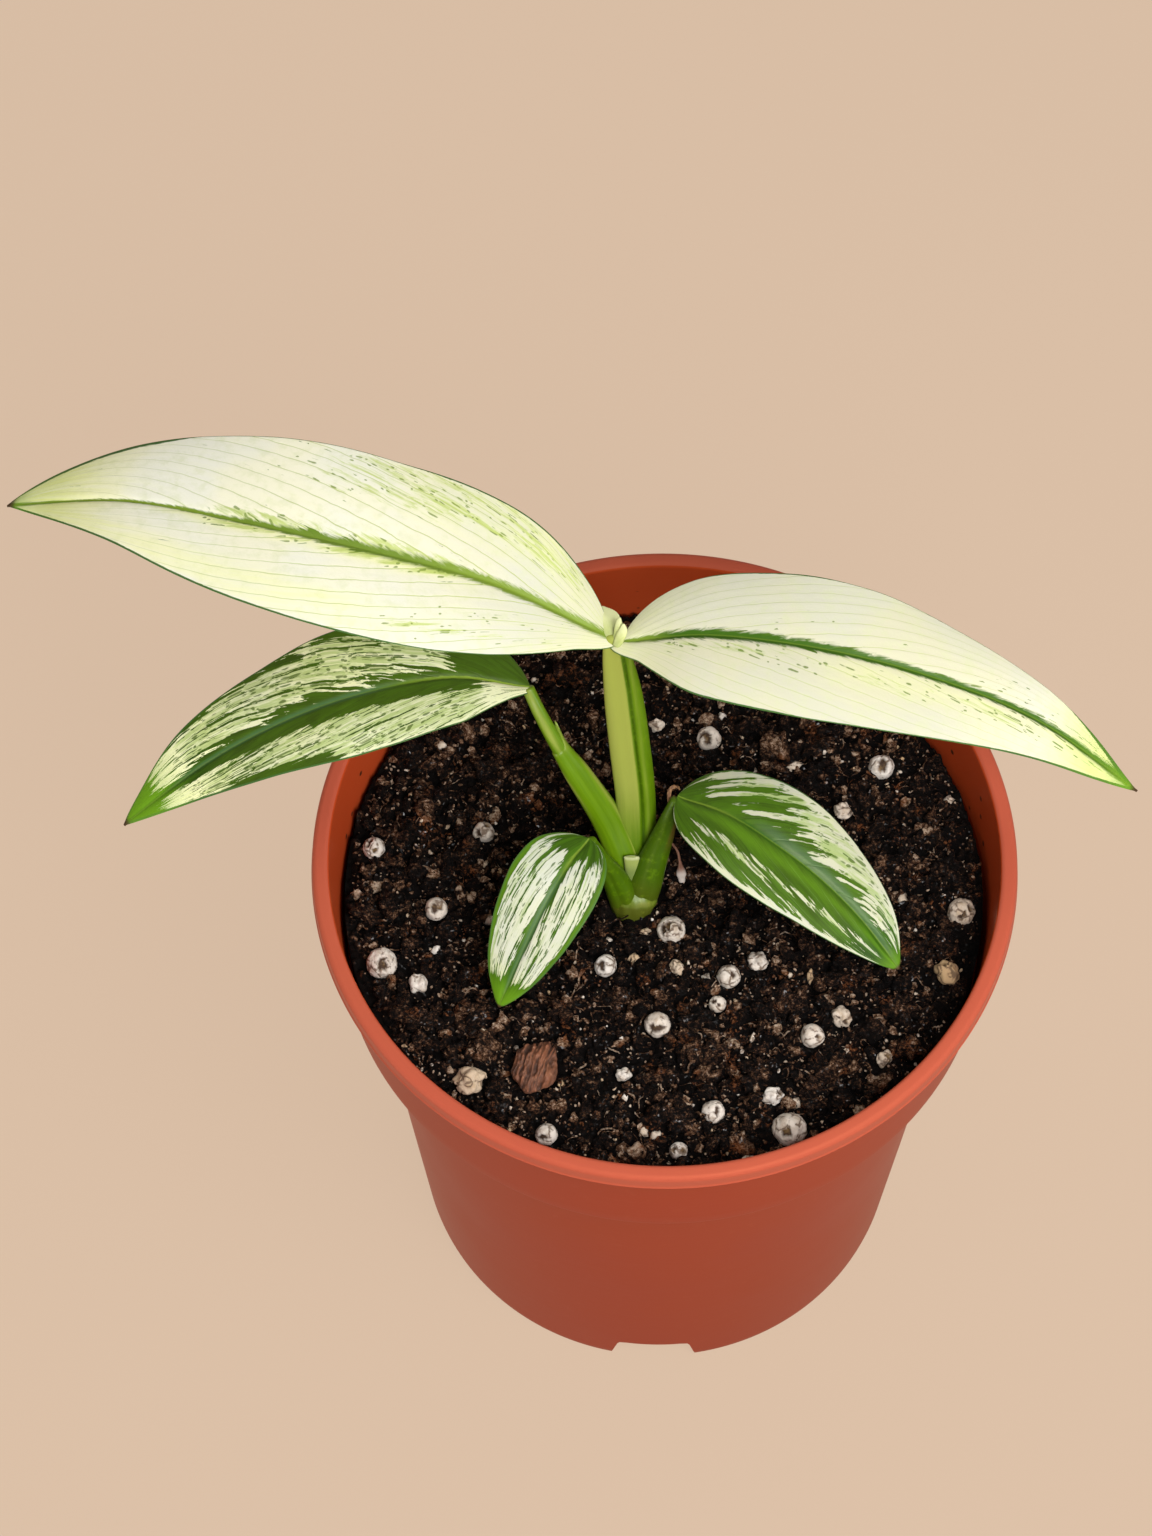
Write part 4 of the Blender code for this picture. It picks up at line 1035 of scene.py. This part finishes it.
DRY_CURL = dict(
    spine=[(1.0, 7.0, 122.4), (0.7, 8.0, 124.0), (1.0, 8.9, 125.1), (2.0, 9.1, 125.4), (2.5, 8.3, 125.8)],
    width=[0.8, 0.75, 0.7, 0.6, 0.3], depth=[0.45, 0.4, 0.4, 0.35, 0.25], nodes=["dry_curl"], grid=(60, 20),
    ends=(0.5, 0.3), roughness=0.25)
THIN_ROOT = dict(
    spine=[(-0.4, 3.2, 115.5), (0.9, 4.6, 113.6), (2.3, 4.1, 111.0), (2.8, 3.0, 108.2), (3.0, 2.2, 106.4),
           (3.1, 1.4, 105.0)],
    width=[0.5, 0.45, 0.45, 0.7, 1.8, 1.0], depth=[0.5, 0.45, 0.45, 0.7, 1.3, 0.9], nodes=["thin_root"],
    grid=(70, 20), paint=paint_root, ends=(0.5, 0.5), roughness=0.3)

STALK_GREEN = (0.10, 0.20, 0.0015)
STALK_FRESH = (0.135, 0.25, 0.003)
STALK_DARK = (0.038, 0.088, 0.001)
STALK_PALE = (0.33, 0.37, 0.065)
STALK_RED = (0.16, 0.065, 0.02)
BRACT_GREEN = (0.42, 0.48, 0.12)
BRACT_PALE = (0.68, 0.70, 0.36)
BRACT_DARK = (0.17, 0.23, 0.06)
HUSK_DARK = (0.09, 0.035, 0.014)
HUSK_LIGHT = (0.30, 0.15, 0.06)
ROOT_DARK = (0.18, 0.075, 0.045)
ROOT_LIGHT = (0.33, 0.17, 0.11)
ROOT_TIP = (0.60, 0.52, 0.46)


def stalk_material():
    """Fleshy green stalk with pale faces, dark stripes and fine lengthwise lines."""
    g = Graph("petiole_flesh", {"Roughness": 0.34, "Specular IOR Level": 0.3})
    dark, pale, red = g.split("tint")
    flow, place = g.attribute("flow"), g.position()
    lines = g.noise(flow, 1.0, 3, 0.55)
    mottle = g.noise(place, 700, 3, 0.6)
    green = g.mix(g.step(lines, 0.25, 0.8), STALK_GREEN, STALK_FRESH)
    g.colour = g.mix(g.step(g.mul(lines, 0.35, pale), 0.2, 1.05), green, STALK_PALE)
    g.lay(g.mul(dark, g.step(mottle, 0.2, 0.5)), STALK_DARK)
    g.lay(g.mul(red, 0.8), STALK_RED)
    height = g.mul(lines, 0.8, g.mul(mottle, 0.3))
    return g.finish(g.mul(mottle, 0.2, 0.26), height, 0.2, 0.0002)


def bract_material():
    """Thin pale skin of the bud and of the leaf scale on the crown, whiter toward its edge."""
    g = Graph("pale_bract", {"Roughness": 0.4, "Specular IOR Level": 0.3})
    dark, pale, _ = g.split("tint")
    lines = g.noise(g.attribute("flow"), 1.4, 3, 0.55)
    g.colour = g.mix(g.step(g.mul(lines, 0.4, pale), 0.2, 1.1), BRACT_GREEN, BRACT_PALE)
    g.lay(dark, BRACT_DARK)
    return g.finish(g.mul(lines, 0.2, 0.3), lines, 0.2, 0.0002)


def husk_material():
    """Dry brown plant skin with lengthwise wrinkles."""
    g = Graph("dry_husk", {"Roughness": 0.7})
    lines = g.noise(g.attribute("flow"), 1.6, 4, 0.6)
    mottle = g.noise(g.position(), 900, 3, 0.6)
    g.colour = g.mix(g.step(lines, 0.3, 0.7), HUSK_DARK, HUSK_LIGHT)
    return g.finish(g.mul(mottle, 0.3, 0.5), lines, 0.5, 0.0002)


def root_material():
    """Thin pinkish-brown root skin that pales to its tip."""
    g = Graph("root_skin", {"Roughness": 0.6})
    lines = g.noise(g.attribute("flow"), 1.2, 3, 0.6)
    _, pale, _ = g.split("tint")
    g.colour = g.mix(g.step(lines, 0.3, 0.7), ROOT_DARK, ROOT_LIGHT)
    g.lay(pale, ROOT_TIP)
    return g.finish(g.mul(lines, 0.2, 0.5), lines, 0.3, 0.0002)


def make_stalks():
    flesh, bract = stalk_material(), bract_material()
    for name, spec in STALKS.items():
        make_stalk(name, flesh, **spec)
    for name, spec in BRACTS.items():
        make_stalk(name, bract, slot="petiole_pale", **spec)
    make_stalk("sheath_curl", husk_material(), slot="dry_husk", **DRY_CURL)
    make_stalk("root_thread", root_material(), slot="dry_husk", **THIN_ROOT)


# ---------------------------------------------------------------- potting mix

# How much the mix swells toward the middle, and the height of its soft hollows, as in the CAD part.
SOIL_MOUND = 1.2
SOIL_RELIEF = 0.9
SOIL_EDGE = INNER_COLLAR_RADIUS + 0.1
SOIL_GRID = 230
# The rings that close the mix's body below its edge: radius and height. The body stays just clear of the pot.
SOIL_CLEAR = 0.3
SOIL_FLOOR = CHANNEL_ROOF + SOIL_CLEAR
SOIL_RINGS = ((INNER_COLLAR_RADIUS - SOIL_CLEAR, COLLAR_FOOT + 1.5),
              (INNER_BODY_RADIUS - SOIL_CLEAR, COLLAR_FOOT - 1.0), (INNER_BASE_RADIUS - SOIL_CLEAR, SOIL_FLOOR))
SEED = 11


def soil_height(x, y):
    """Height of the CAD mix: a slight mound with soft hollows, level where it meets the wall."""
    reach = min(math.hypot(x, y) / INNER_COLLAR_RADIUS, 1.0)
    relief = noise.noise(Vector((x, y, 7.0)) / 9.0) + 0.5 * noise.noise(Vector((x, y, 3.0)) / 4.0)
    return SOIL_LEVEL + SOIL_MOUND * (1 - reach ** 2) + SOIL_RELIEF * relief * (1 - reach ** 6)


def crumb_height(x, y):
    """Height of the mix with its own crumbs and hollows."""
    p = Vector((x, y, 0.0))
    lumps = 1.5 * noise.noise(p / 3.3) + 1.3 * (2 * abs(noise.noise(p / 1.8 + Vector((9, 3, 1)))) - 0.5)
    return soil_height(x, y) + lumps + 0.7 * noise.noise(p / 0.85) - 0.5


def over(height, x, y):
    """A height of the mix at each of many places."""
    return np.array([height(p, q) for p, q in zip(x, y)])


def make_soil(mat):
    """A closed body whose top is a square grid pressed into the pot's circle."""
    side = np.linspace(-1.0, 1.0, SOIL_GRID)
    a, b = np.meshgrid(side, side, indexing="ij")
    x = (a * np.sqrt(1 - b * b / 2) * SOIL_EDGE).ravel()
    y = (b * np.sqrt(1 - a * a / 2) * SOIL_EDGE).ravel()
    z = over(crumb_height, x, y)
    top = np.column_stack([x, y, z])
    index = np.arange(len(top)).reshape(SOIL_GRID, SOIL_GRID)
    border = np.concatenate([index[0, :-1], index[:-1, -1], index[-1, :0:-1], index[:0:-1, 0]])
    outward, count = unit(top[border, :2]), len(border)
    rings = [np.column_stack([outward * radius, np.full(count, level)]) for radius, level in SOIL_RINGS]
    loops = [border] + [len(top) + k * count + np.arange(count) for k in range(len(rings))]
    faces = grid_faces(SOIL_GRID, SOIL_GRID)
    for first, second in zip(loops, loops[1:]):
        faces += np.stack([first, np.roll(first, -1), np.roll(second, -1), second], -1).tolist()
    points = np.vstack([top, *rings, [(0.0, 0.0, SOIL_FLOOR)]])
    faces += [(len(points) - 1, int(p), int(q)) for p, q in zip(loops[-1], np.roll(loops[-1], -1))]
    tone, raised = np.zeros(len(points)), np.zeros(len(points))
    tone[:len(top)] = np.array([noise.noise(Vector((p, q, 5.0)) / 2.3) for p, q in zip(x, y)]) * 0.35 + 0.3
    # How far each point stands above the plain mix: the mix's colour paints shade in the hollows where this is low.
    raised[:len(top)] = ease(z - over(soil_height, x, y), -1.6, 0.9)
    add_piece("mix_bed", points, faces, mat, ["soil"], {"tone": tone, "raised": raised})


class Heap:
    """Many small closed shapes gathered into one piece."""

    def __init__(self):
        self.points, self.faces, self.tones, self.raised, self.count = [], [], [], [], 0

    def add(self, points, faces, tone):
        """Adds a shape, whose raised share falls toward its underside, where the potting mix's colour paints shade.
        """
        height = points[:, 2]
        self.faces += [tuple(corner + self.count for corner in face) for face in faces]
        self.points.append(points)
        self.tones.append(np.full(len(points), tone))
        self.raised.append(0.25 + 0.75 * ease(height, height.min(), height.max()))
        self.count += len(points)

    def make(self, name, mat, slot, sharp=None):
        attributes = {"tone": np.concatenate(self.tones), "raised": np.concatenate(self.raised)}
        add_piece(name, np.vstack(self.points), self.faces, mat, (), attributes, sharp, orient=False)


def ball(divisions):
    """Unit points and triangles of an icosphere."""
    bm = bmesh.new()
    bmesh.ops.create_icosphere(bm, subdivisions=divisions, radius=1.0)
    points = np.array([v.co for v in bm.verts])
    faces = [[v.index for v in f.verts] for f in bm.faces]
    bm.free()
    return points, faces


def any_turn(rng):
    """A random rotation matrix."""
    w, x, y, z = unit(rng.normal(size=4))
    return np.array([[1 - 2 * (y * y + z * z), 2 * (x * y - z * w), 2 * (x * z + y * w)],
                     [2 * (x * y + z * w), 1 - 2 * (x * x + z * z), 2 * (y * z - x * w)],
                     [2 * (x * z - y * w), 2 * (y * z + x * w), 1 - 2 * (x * x + y * y)]])


def any_tilt(rng, most):
    """A random turn about Z followed by a tilt of at most so many degrees."""
    spin = Matrix.Rotation(rng.uniform(0, 2 * math.pi), 3, "Z")
    heading = rng.uniform(0, 2 * math.pi)
    axis = Vector((math.cos(heading), math.sin(heading), 0.0))
    return np.array(Matrix.Rotation(math.radians(rng.uniform(0, most)), 3, axis) @ spin)


def grain_places():
    """Middle and radius of every CAD perlite grain and the bark chip, from their boxes."""
    found = {}
    for name in sorted(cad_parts):
        if name.startswith("perlite_") or name == "bark_chip":
            low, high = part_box(name)
            middle, size = (low + high) / 2 / MM, (high - low) / MM
            found[name] = (np.array(middle), np.array(size) / 2)
    return found


GRAINS = grain_places()
# Where the crown stands: loose bits keep this far from it.
CROWN_PLACE = (-5.6, -4.4)
CROWN_CLEAR = 3.4


def free_place(rng, radius, clear=1.0):
    """A random place on the mix that keeps off the wall, the crown and the grains."""
    while True:
        reach = (SOIL_EDGE - 0.6 - radius) * math.sqrt(rng.uniform())
        turn = rng.uniform(0, 2 * math.pi)
        x, y = reach * math.cos(turn), reach * math.sin(turn)
        if math.hypot(x - CROWN_PLACE[0], y - CROWN_PLACE[1]) < CROWN_CLEAR + radius:
            continue
        if all(math.hypot(x - m[0], y - m[1]) > max(size[:2]) + clear * radius for m, size in GRAINS.values()):
            return x, y


def rough_ball(rng, shape, stretch, roughness, turn):
    """An uneven grain of unit size."""
    points, faces = shape
    offset = rng.uniform(-50, 50, 3)
    swell = 1 + roughness * (noise_over(points, 1.5, offset) + 0.5 * noise_over(points, 3.7, offset))
    return (points * swell[:, None] * np.asarray(stretch)) @ turn.T, faces


def strew(name, mat, rng, count, kinds, stretch, roughness, height, pick=lambda k: 0, slot="potting_mix",
          clear=1.0, turn=any_turn, sharp=None):
    """Strews rough balls over the mix. A kind is a shape, a range of radius, and shares and ranges of its tone."""
    heap = Heap()
    for k in range(count):
        shape, sizes, tones = kinds[pick(k)]
        radius = rng.uniform(*sizes)
        x, y = free_place(rng, radius, clear)
        points, faces = rough_ball(rng, shape, rng.uniform(*stretch), roughness, turn(rng))
        drawn = [rng.uniform(low, high) for _, low, high in tones]
        tone = rng.choice(drawn, p=[share for share, _, _ in tones]) if len(drawn) > 1 else drawn[0]
        heap.add(points * radius + (x, y, height(x, y, radius)), faces, tone)
    heap.make(name, mat, slot, sharp)


# The share of the grit that is pale, and how many of the perlite specks are large.
PALE_SHARE = 0.28
LARGE_SPECKS = 43


def make_crumbs(mat):
    """Chunks, crumbs and grit of peat and bark, half sunk in the mix."""
    rng = np.random.default_rng(SEED)
    chunk = (ball(3), (1.1, 2.5), [(0.78, 0.15, 0.45), (0.22, 0.5, 0.85)])
    crumb = (ball(2), (0.5, 1.3), [(0.6, 0.1, 0.45), (0.4, 0.5, 1.3)])
    dark_grit = (ball(1), (0.16, 0.5), [(0.55, 0.1, 0.5), (0.45, 0.5, 1.1)])
    pale_grit = (ball(1), (0.12, 0.3), [(1.0, 1.3, 2.3)])
    strew("mix_chunks", mat, rng, count=260, kinds=[chunk], stretch=((0.8, 0.6, 0.5), (1.3, 1.0, 0.95)),
          roughness=0.95, height=lambda x, y, r: soil_height(x, y) + rng.uniform(-0.2, 0.4) * r,
          turn=lambda rng: any_tilt(rng, 60))
    strew("mix_crumbs", mat, rng, count=2300, kinds=[crumb], stretch=((0.7, 0.6, 0.5), (1.4, 1.0, 1.0)),
          roughness=0.8, height=lambda x, y, r: crumb_height(x, y) + rng.uniform(-0.2, 0.8) * r,
          clear=0.7, sharp=38)
    strew("mix_grit", mat, rng, count=9000, kinds=[dark_grit, pale_grit], stretch=((0.5, 0.5, 0.4), (1.6, 1.0, 1.0)),
          roughness=0.5, pick=lambda k: int(rng.uniform() < PALE_SHARE), clear=0.6, sharp=30,
          height=lambda x, y, r: crumb_height(x, y) + rng.uniform(0.2, 1.3) * r + 0.5 * rng.uniform() ** 2)


# How many fibres are strewn, and the share of them that is short.
FIBRE_COUNT = 1500
SHORT_FIBRES = 0.9


def make_fibres(mat):
    """Peat fibres, hair roots and thin splinters lying over the crumbs."""
    rng, fibres = np.random.default_rng(SEED + 1), Heap()
    stations, sides = 9, 3
    around = np.linspace(0, 2 * math.pi, sides, endpoint=False)
    faces = grid_faces(stations, sides, closed=True)
    faces += [(2, 1, 0), tuple(range((stations - 1) * sides, stations * sides))]
    s = np.linspace(-0.5, 0.5, stations)
    for _ in range(FIBRE_COUNT):
        length = rng.uniform(1.0, 4.0) if rng.uniform() < SHORT_FIBRES else rng.uniform(4.0, 9.0)
        radius = rng.uniform(0.04, 0.11)
        x, y = free_place(rng, 0.5)
        heading, bend, wave = rng.uniform(0, 2 * math.pi), rng.normal(0, 0.9), rng.normal(0, 0.5)
        turn = heading + bend * s * 2 + wave * np.sin(9 * s)
        step = length / (stations - 1)
        px = x + np.concatenate([[0], np.cumsum(np.cos(turn[1:]) * step)])
        py = y + np.concatenate([[0], np.cumsum(np.sin(turn[1:]) * step)])
        if np.hypot(px, py).max() > SOIL_EDGE - 0.6:
            continue
        lift = rng.uniform(0.1, 0.5) + rng.uniform(0, 1.1) * np.cos(math.pi * s) ** 2
        ground = over(crumb_height, px, py)
        pz = 0.5 * ground + 0.5 * ground.mean() + lift
        middle = np.stack([px, py, pz], -1)
        tangent = unit(np.gradient(middle, axis=0))
        wide = unit(np.cross(tangent, (0.0, 0.0, 1.0)) + 1e-6)
        deep = np.cross(tangent, wide)
        taper = (radius * (1.1 - 1.6 * s ** 2))[:, None, None]
        flat = rng.uniform(0.5, 2.2)
        rings = middle[:, None] + taper * (flat * wide[:, None] * np.cos(around)[None, :, None]
                                           + deep[:, None] * np.sin(around)[None, :, None])
        tone = rng.choice([rng.uniform(0.4, 0.9), rng.uniform(0.9, 1.6)], p=[0.65, 0.35])
        fibres.add(rings.reshape(-1, 3), faces, tone)
    fibres.make("mix_fibres", mat, "potting_mix")


def make_specks(mat):
    """Small broken bits of perlite, the largest first."""
    large, small = (ball(2), (0.6, 1.15), [(1.0, 0.0, 1.0)]), (ball(1), (0.22, 0.5), [(1.0, 0.0, 1.0)])
    strew("perlite_dust", mat, np.random.default_rng(SEED + 2), count=330, kinds=[large, small],
          pick=lambda k: int(k >= LARGE_SPECKS), stretch=((0.8, 0.6, 0.5), (1.5, 1.0, 1.0)), roughness=0.7,
          height=lambda x, y, r: crumb_height(x, y) + r * 0.45 + 0.1, slot="perlite")


SOIL_TONES = [(0.0, (0.0012, 0.0006, 0.0004)), (0.26, (0.006, 0.003, 0.002)), (0.42, (0.030, 0.014, 0.008)),
              (0.57, (0.105, 0.047, 0.023)), (0.75, (0.27, 0.145, 0.08)), (1.0, (0.62, 0.46, 0.33))]
RUST = (0.26, 0.075, 0.018)


def soil_material():
    """Damp peat and bark: brown crumbs, painted shade that darkens the hollows and the crumbs' undersides toward
    near-black, and small wet glints.
    """
    g = Graph("potting_mix", {"Roughness": 0.8, "Specular IOR Level": 0.12, "Coat Roughness": 0.12})
    tone, raised, place = g.value("tone"), g.value("raised"), g.position()
    coarse = g.noise(place, 330, 3, 0.6)
    fine = g.noise(place, 1600, 5, 0.75)
    stringy = g.streaks(place, (700.0, 2600.0, 1200.0), 3, 0.6, 1.5)
    grain = g.mul(fine, 2.6, g.mul(coarse, 0.9, g.mul(stringy, 0.9)))
    level = g.mul(tone, 0.62, g.math("ADD", grain, -2.12))
    # Painted shade: the lower a point stands, the darker its colour.
    level = g.mul(level, g.mul(raised, 0.8, 0.2))
    ramp = g.nodes.new("ShaderNodeValToRGB")
    while len(ramp.color_ramp.elements) < len(SOIL_TONES):
        ramp.color_ramp.elements.new(0.5)
    for element, (place_in, colour) in zip(ramp.color_ramp.elements, SOIL_TONES):
        element.position, element.color = place_in, (*colour, 1.0)
    g.put(ramp.inputs[0], level)
    rusty = g.mul(g.step(g.noise(place, 210, 2, 0.5), 0.56, 0.7), g.step(level, 0.25, 0.5))
    g.colour = g.mix(g.mul(rusty, 0.6), ramp.outputs[0], RUST)
    wet = g.mul(g.step(g.noise(place, 1500, 3, 0.6), 0.54, 0.62), raised)
    g.put(g.shader.inputs["Coat Weight"], g.mul(wet, 0.45))
    rough = g.mul(wet, -0.6, 0.92)
    height = g.mul(coarse, 0.8, g.mul(stringy, 0.5, fine))
    return g.finish(rough, height, 1.0, 0.001)


# ---------------------------------------------------------------- perlite and bark

# Grains wider than this, in millimetres from their middle, get a finer mesh.
LARGE_GRAIN = 2.3
# Grains that are irregular, and how tan the stained ones are.
ODD_GRAINS = (5, 7, 9, 13, 14, 18, 19, 21, 22, 24, 28)
TINTED_GRAINS = {7: 0.3, 9: 0.35, 14: 0.6, 18: 0.4, 19: 0.5, 20: 0.45, 21: 1.0, 22: 0.7}
# The bark chip is the one entry of GRAINS that is no grain of perlite.
GRAIN_COUNT = len(GRAINS) - 1


def make_perlite(mat):
    """Round porous grains, each with a few pits that hold soil."""
    fine, coarse = ball(5), ball(4)
    for k in range(1, GRAIN_COUNT + 1):
        name = f"perlite_{k:02d}"
        middle, size = GRAINS[name]
        points, faces = fine if size.mean() > LARGE_GRAIN else coarse
        rng = np.random.default_rng(SEED + 100 + k)
        offset = rng.uniform(-50, 50, 3)
        odd = k in ODD_GRAINS
        squash, rough = (rng.uniform(0.75, 0.9), 0.42) if odd else (1.0, 0.10)
        swell = (1 + rough * noise_over(points, 1.5, offset) + 0.05 * noise_over(points, 5, offset)
                 + 0.02 * noise_over(points, 12, offset))
        pit = np.zeros(len(points))
        wobble = noise_over(points, 3.4, -offset) * 0.3
        for _ in range(rng.integers(1, 4)):
            toward = unit(np.array([rng.normal(0, 0.45), rng.normal(-0.4, 0.4), 0.9]))
            away = np.linalg.norm((points - toward) * rng.uniform((0.7, 0.7, 1.0), (1.6, 1.6, 1.0)), axis=1)
            reach = rng.uniform(0.3, 0.52)
            pit = np.maximum(pit, fade(away + wobble, reach * 0.8, reach))
        turn = any_turn(rng) if odd else np.eye(3)
        body = (points * (swell - 0.28 * pit)[:, None] * (1.0, squash, 1.0)) @ turn.T * size.mean() * 1.02
        tone = np.full(len(points), TINTED_GRAINS.get(k, rng.uniform(0.0, 0.25)))
        add_piece(f"grain_{k:02d}", body + middle, faces, mat, [name],
                  {"tone": tone, "pit": pit}, orient=False)


PERLITE_WHITE = (0.70, 0.64, 0.575)
PERLITE_DUSTY = (0.46, 0.385, 0.315)
PERLITE_TAN = (0.47, 0.31, 0.16)
CRACK_BROWN = (0.10, 0.055, 0.03)
PIT_DARK = (0.045, 0.022, 0.010)
PIT_GOLD = (0.17, 0.10, 0.035)


def perlite_material():
    """Chalky white with brown pits, hair cracks and soil dust."""
    g = Graph("perlite_grain", {"Roughness": 0.85})
    tone, pit, place = g.value("tone"), g.value("pit"), g.position()
    dust = g.noise(place, 620, 4, 0.65)
    fine = g.noise(place, 2500, 3, 0.6)
    g.colour = g.mix(g.step(dust, 0.42, 0.66), PERLITE_WHITE, PERLITE_DUSTY)
    g.lay(tone, PERLITE_TAN)
    bent = g.vector("MULTIPLY_ADD", g.noise(place, 500, 2, 0.5, output=1), (0.0012, 0.0012, 0.0012), place)
    crack = g.cells(bent, 420, "DISTANCE_TO_EDGE")
    crack = g.mul(g.fall(crack, 0.02, 0.1), g.step(dust, 0.42, 0.56))
    g.lay(g.mul(crack, 0.8), CRACK_BROWN)
    pore = g.mul(g.step(g.noise(place, 1500, 3, 0.6), 0.66, 0.72), 0.5)
    stain = g.math("MAXIMUM", g.mul(pit, g.step(fine, 0.05, 0.35)), pore)
    g.lay(stain, g.mix(g.step(dust, 0.5, 0.68), PIT_DARK, PIT_GOLD))
    height = g.math("SUBTRACT", g.mul(fine, 0.5, dust), g.mul(crack, 0.9))
    return g.finish(None, height, 0.5, 0.0004)


# The chip's proportions and how it is turned, in degrees.
BARK_SHAPE = (1.0, 0.78, 0.42)
BARK_TURN = 72


def make_bark(mat):
    """A flat chip of bark with raised ridges along it."""
    middle, size = GRAINS["bark_chip"]
    points, faces = ball(6)
    outline = 1 + 0.16 * noise_over(points * (1, 1, 0), 1.6, (4, 1, 0)) + 0.05 * noise_over(points, 5)
    along = noise_over(points * (1.3, 6.5, 0) + (0, 0, 3))
    fine = noise_over(points * (5.0, 15.0, 0) + (0, 0, 7))
    layer = abs(noise_over(points * (3.0, 3.0, 0) + (0, 0, 1)))
    body = points * BARK_SHAPE * outline[:, None]
    lift = (0.16 * along + 0.06 * fine - 0.12 * layer) * ease(points[:, 2], -0.2, 0.4)
    body[:, 2] += lift
    attributes = {"tone": 0.5 + 0.5 * along + 0.3 * fine - 0.3 * layer, "raised": ease(lift, -0.12, 0.12),
                  "ridge": points * (2.0, 11.0, 1.0)}
    body = (body @ turn_about_z(BARK_TURN).T) * max(size[:2]) * 1.05 + middle + (0, 0, 0.5)
    add_piece("bark_flake", body, faces, mat, ["bark_chip"], attributes, orient=False)


BARK_FURROW = (0.05, 0.02, 0.011)
BARK_RED = (0.24, 0.085, 0.038)
BARK_WORN = (0.36, 0.18, 0.10)


def bark_material():
    """Reddish-brown bark with darker furrows and pale worn ridges."""
    g = Graph("bark_flake", {"Roughness": 0.8})
    tone, raised, place = g.value("tone"), g.value("raised"), g.position()
    lines = g.noise(g.attribute("ridge"), 1.0, 4, 0.65)
    fine = g.noise(place, 1600, 4, 0.65)
    level = g.mul(lines, 0.8, g.mul(tone, 0.5))
    g.colour = g.mix(g.step(level, 0.4, 0.85), BARK_FURROW, BARK_RED)
    g.lay(g.mul(g.step(fine, 0.55, 0.72), raised), BARK_WORN)
    height = g.mul(lines, 1.0, g.mul(fine, 0.5))
    return g.finish(g.mul(fine, 0.3, 0.5), height, 0.6, 0.0005)


# ---------------------------------------------------------------- setting

# The floor's own colour, the share of it that takes light, and how strongly it glows.
BACKDROP = srgb(219, 192, 167)
FLOOR_DIFFUSE = 0.1
FLOOR_GLOW = 0.9
FLOOR_REACH = 3.0
FLOOR_DROP = 0.0002
WORLD_COLOUR = (1.0, 0.96, 0.92)
WORLD_STRENGTH = 0.25
# Each light's place, what it points at, its size and its watts.
LIGHTS = {
    "key": ((0.14, -0.3, 0.52), (0.0, 0.0, 0.12), 0.3, 3.0),
    "overhead": ((0.2, 0.2, 1.8), (0.0, 0.0, 0.1), 1.0, 5.4),
    "side": ((-0.55, -0.3, 0.12), (0.0, 0.0, 0.08), 0.25, 0.9),
    "fill": ((0.5, -0.2, 0.42), (0.0, 0.0, 0.09), 0.25, 0.5),
}


def make_floor():
    """A plain pale floor that also glows a little, so that shadows on it stay faint."""
    mesh = bpy.data.meshes.new("floor")
    corners = [(x * FLOOR_REACH, y * FLOOR_REACH, 0) for x, y in ((-1, -1), (1, -1), (1, 1), (-1, 1))]
    mesh.from_pydata(corners, [], [(0, 1, 2, 3)])
    floor = add_object("floor", mesh)
    floor.location.z = -FLOOR_DROP
    g = Graph("floor_paper", {"Roughness": 1.0, "Specular IOR Level": 0.0, "Emission Color": BACKDROP,
                              "Emission Strength": FLOOR_GLOW})
    fibre = g.noise(g.position(), 700, 3, 0.6)
    shade, bright = (tuple(c * FLOOR_DIFFUSE * share for c in BACKDROP) for share in (0.97, 1.0))
    g.colour = g.mix(fibre, shade, bright)
    mesh.materials.append(g.finish())


def set_light():
    world = bpy.data.worlds.new("studio")
    world.use_nodes = True
    background = world.node_tree.nodes["Background"]
    background.inputs["Color"].default_value = (*WORLD_COLOUR, 1.0)
    background.inputs["Strength"].default_value = WORLD_STRENGTH
    bpy.context.scene.world = world
    for name, (place, target, size, watts) in LIGHTS.items():
        data = bpy.data.lights.new(name, "AREA")
        data.shape, data.size, data.energy = "DISK", size, watts
        light = add_object(name, data)
        light.location = place
        light.rotation_euler = (Vector(place) - Vector(target)).to_track_quat("Z", "Y").to_euler()
    bpy.context.scene.view_settings.view_transform = "Standard"


add_camera()
set_light()
make_floor()
make_pot(pot_material())
peat = soil_material()
make_soil(peat)
make_crumbs(peat)
make_fibres(peat)
white = perlite_material()
make_specks(white)
make_perlite(white)
make_bark(bark_material())
make_stalks()
blade_skin = leaf_material()
for leaf, leaf_spec in LEAVES.items():
    make_leaf(leaf, leaf_spec, blade_skin)
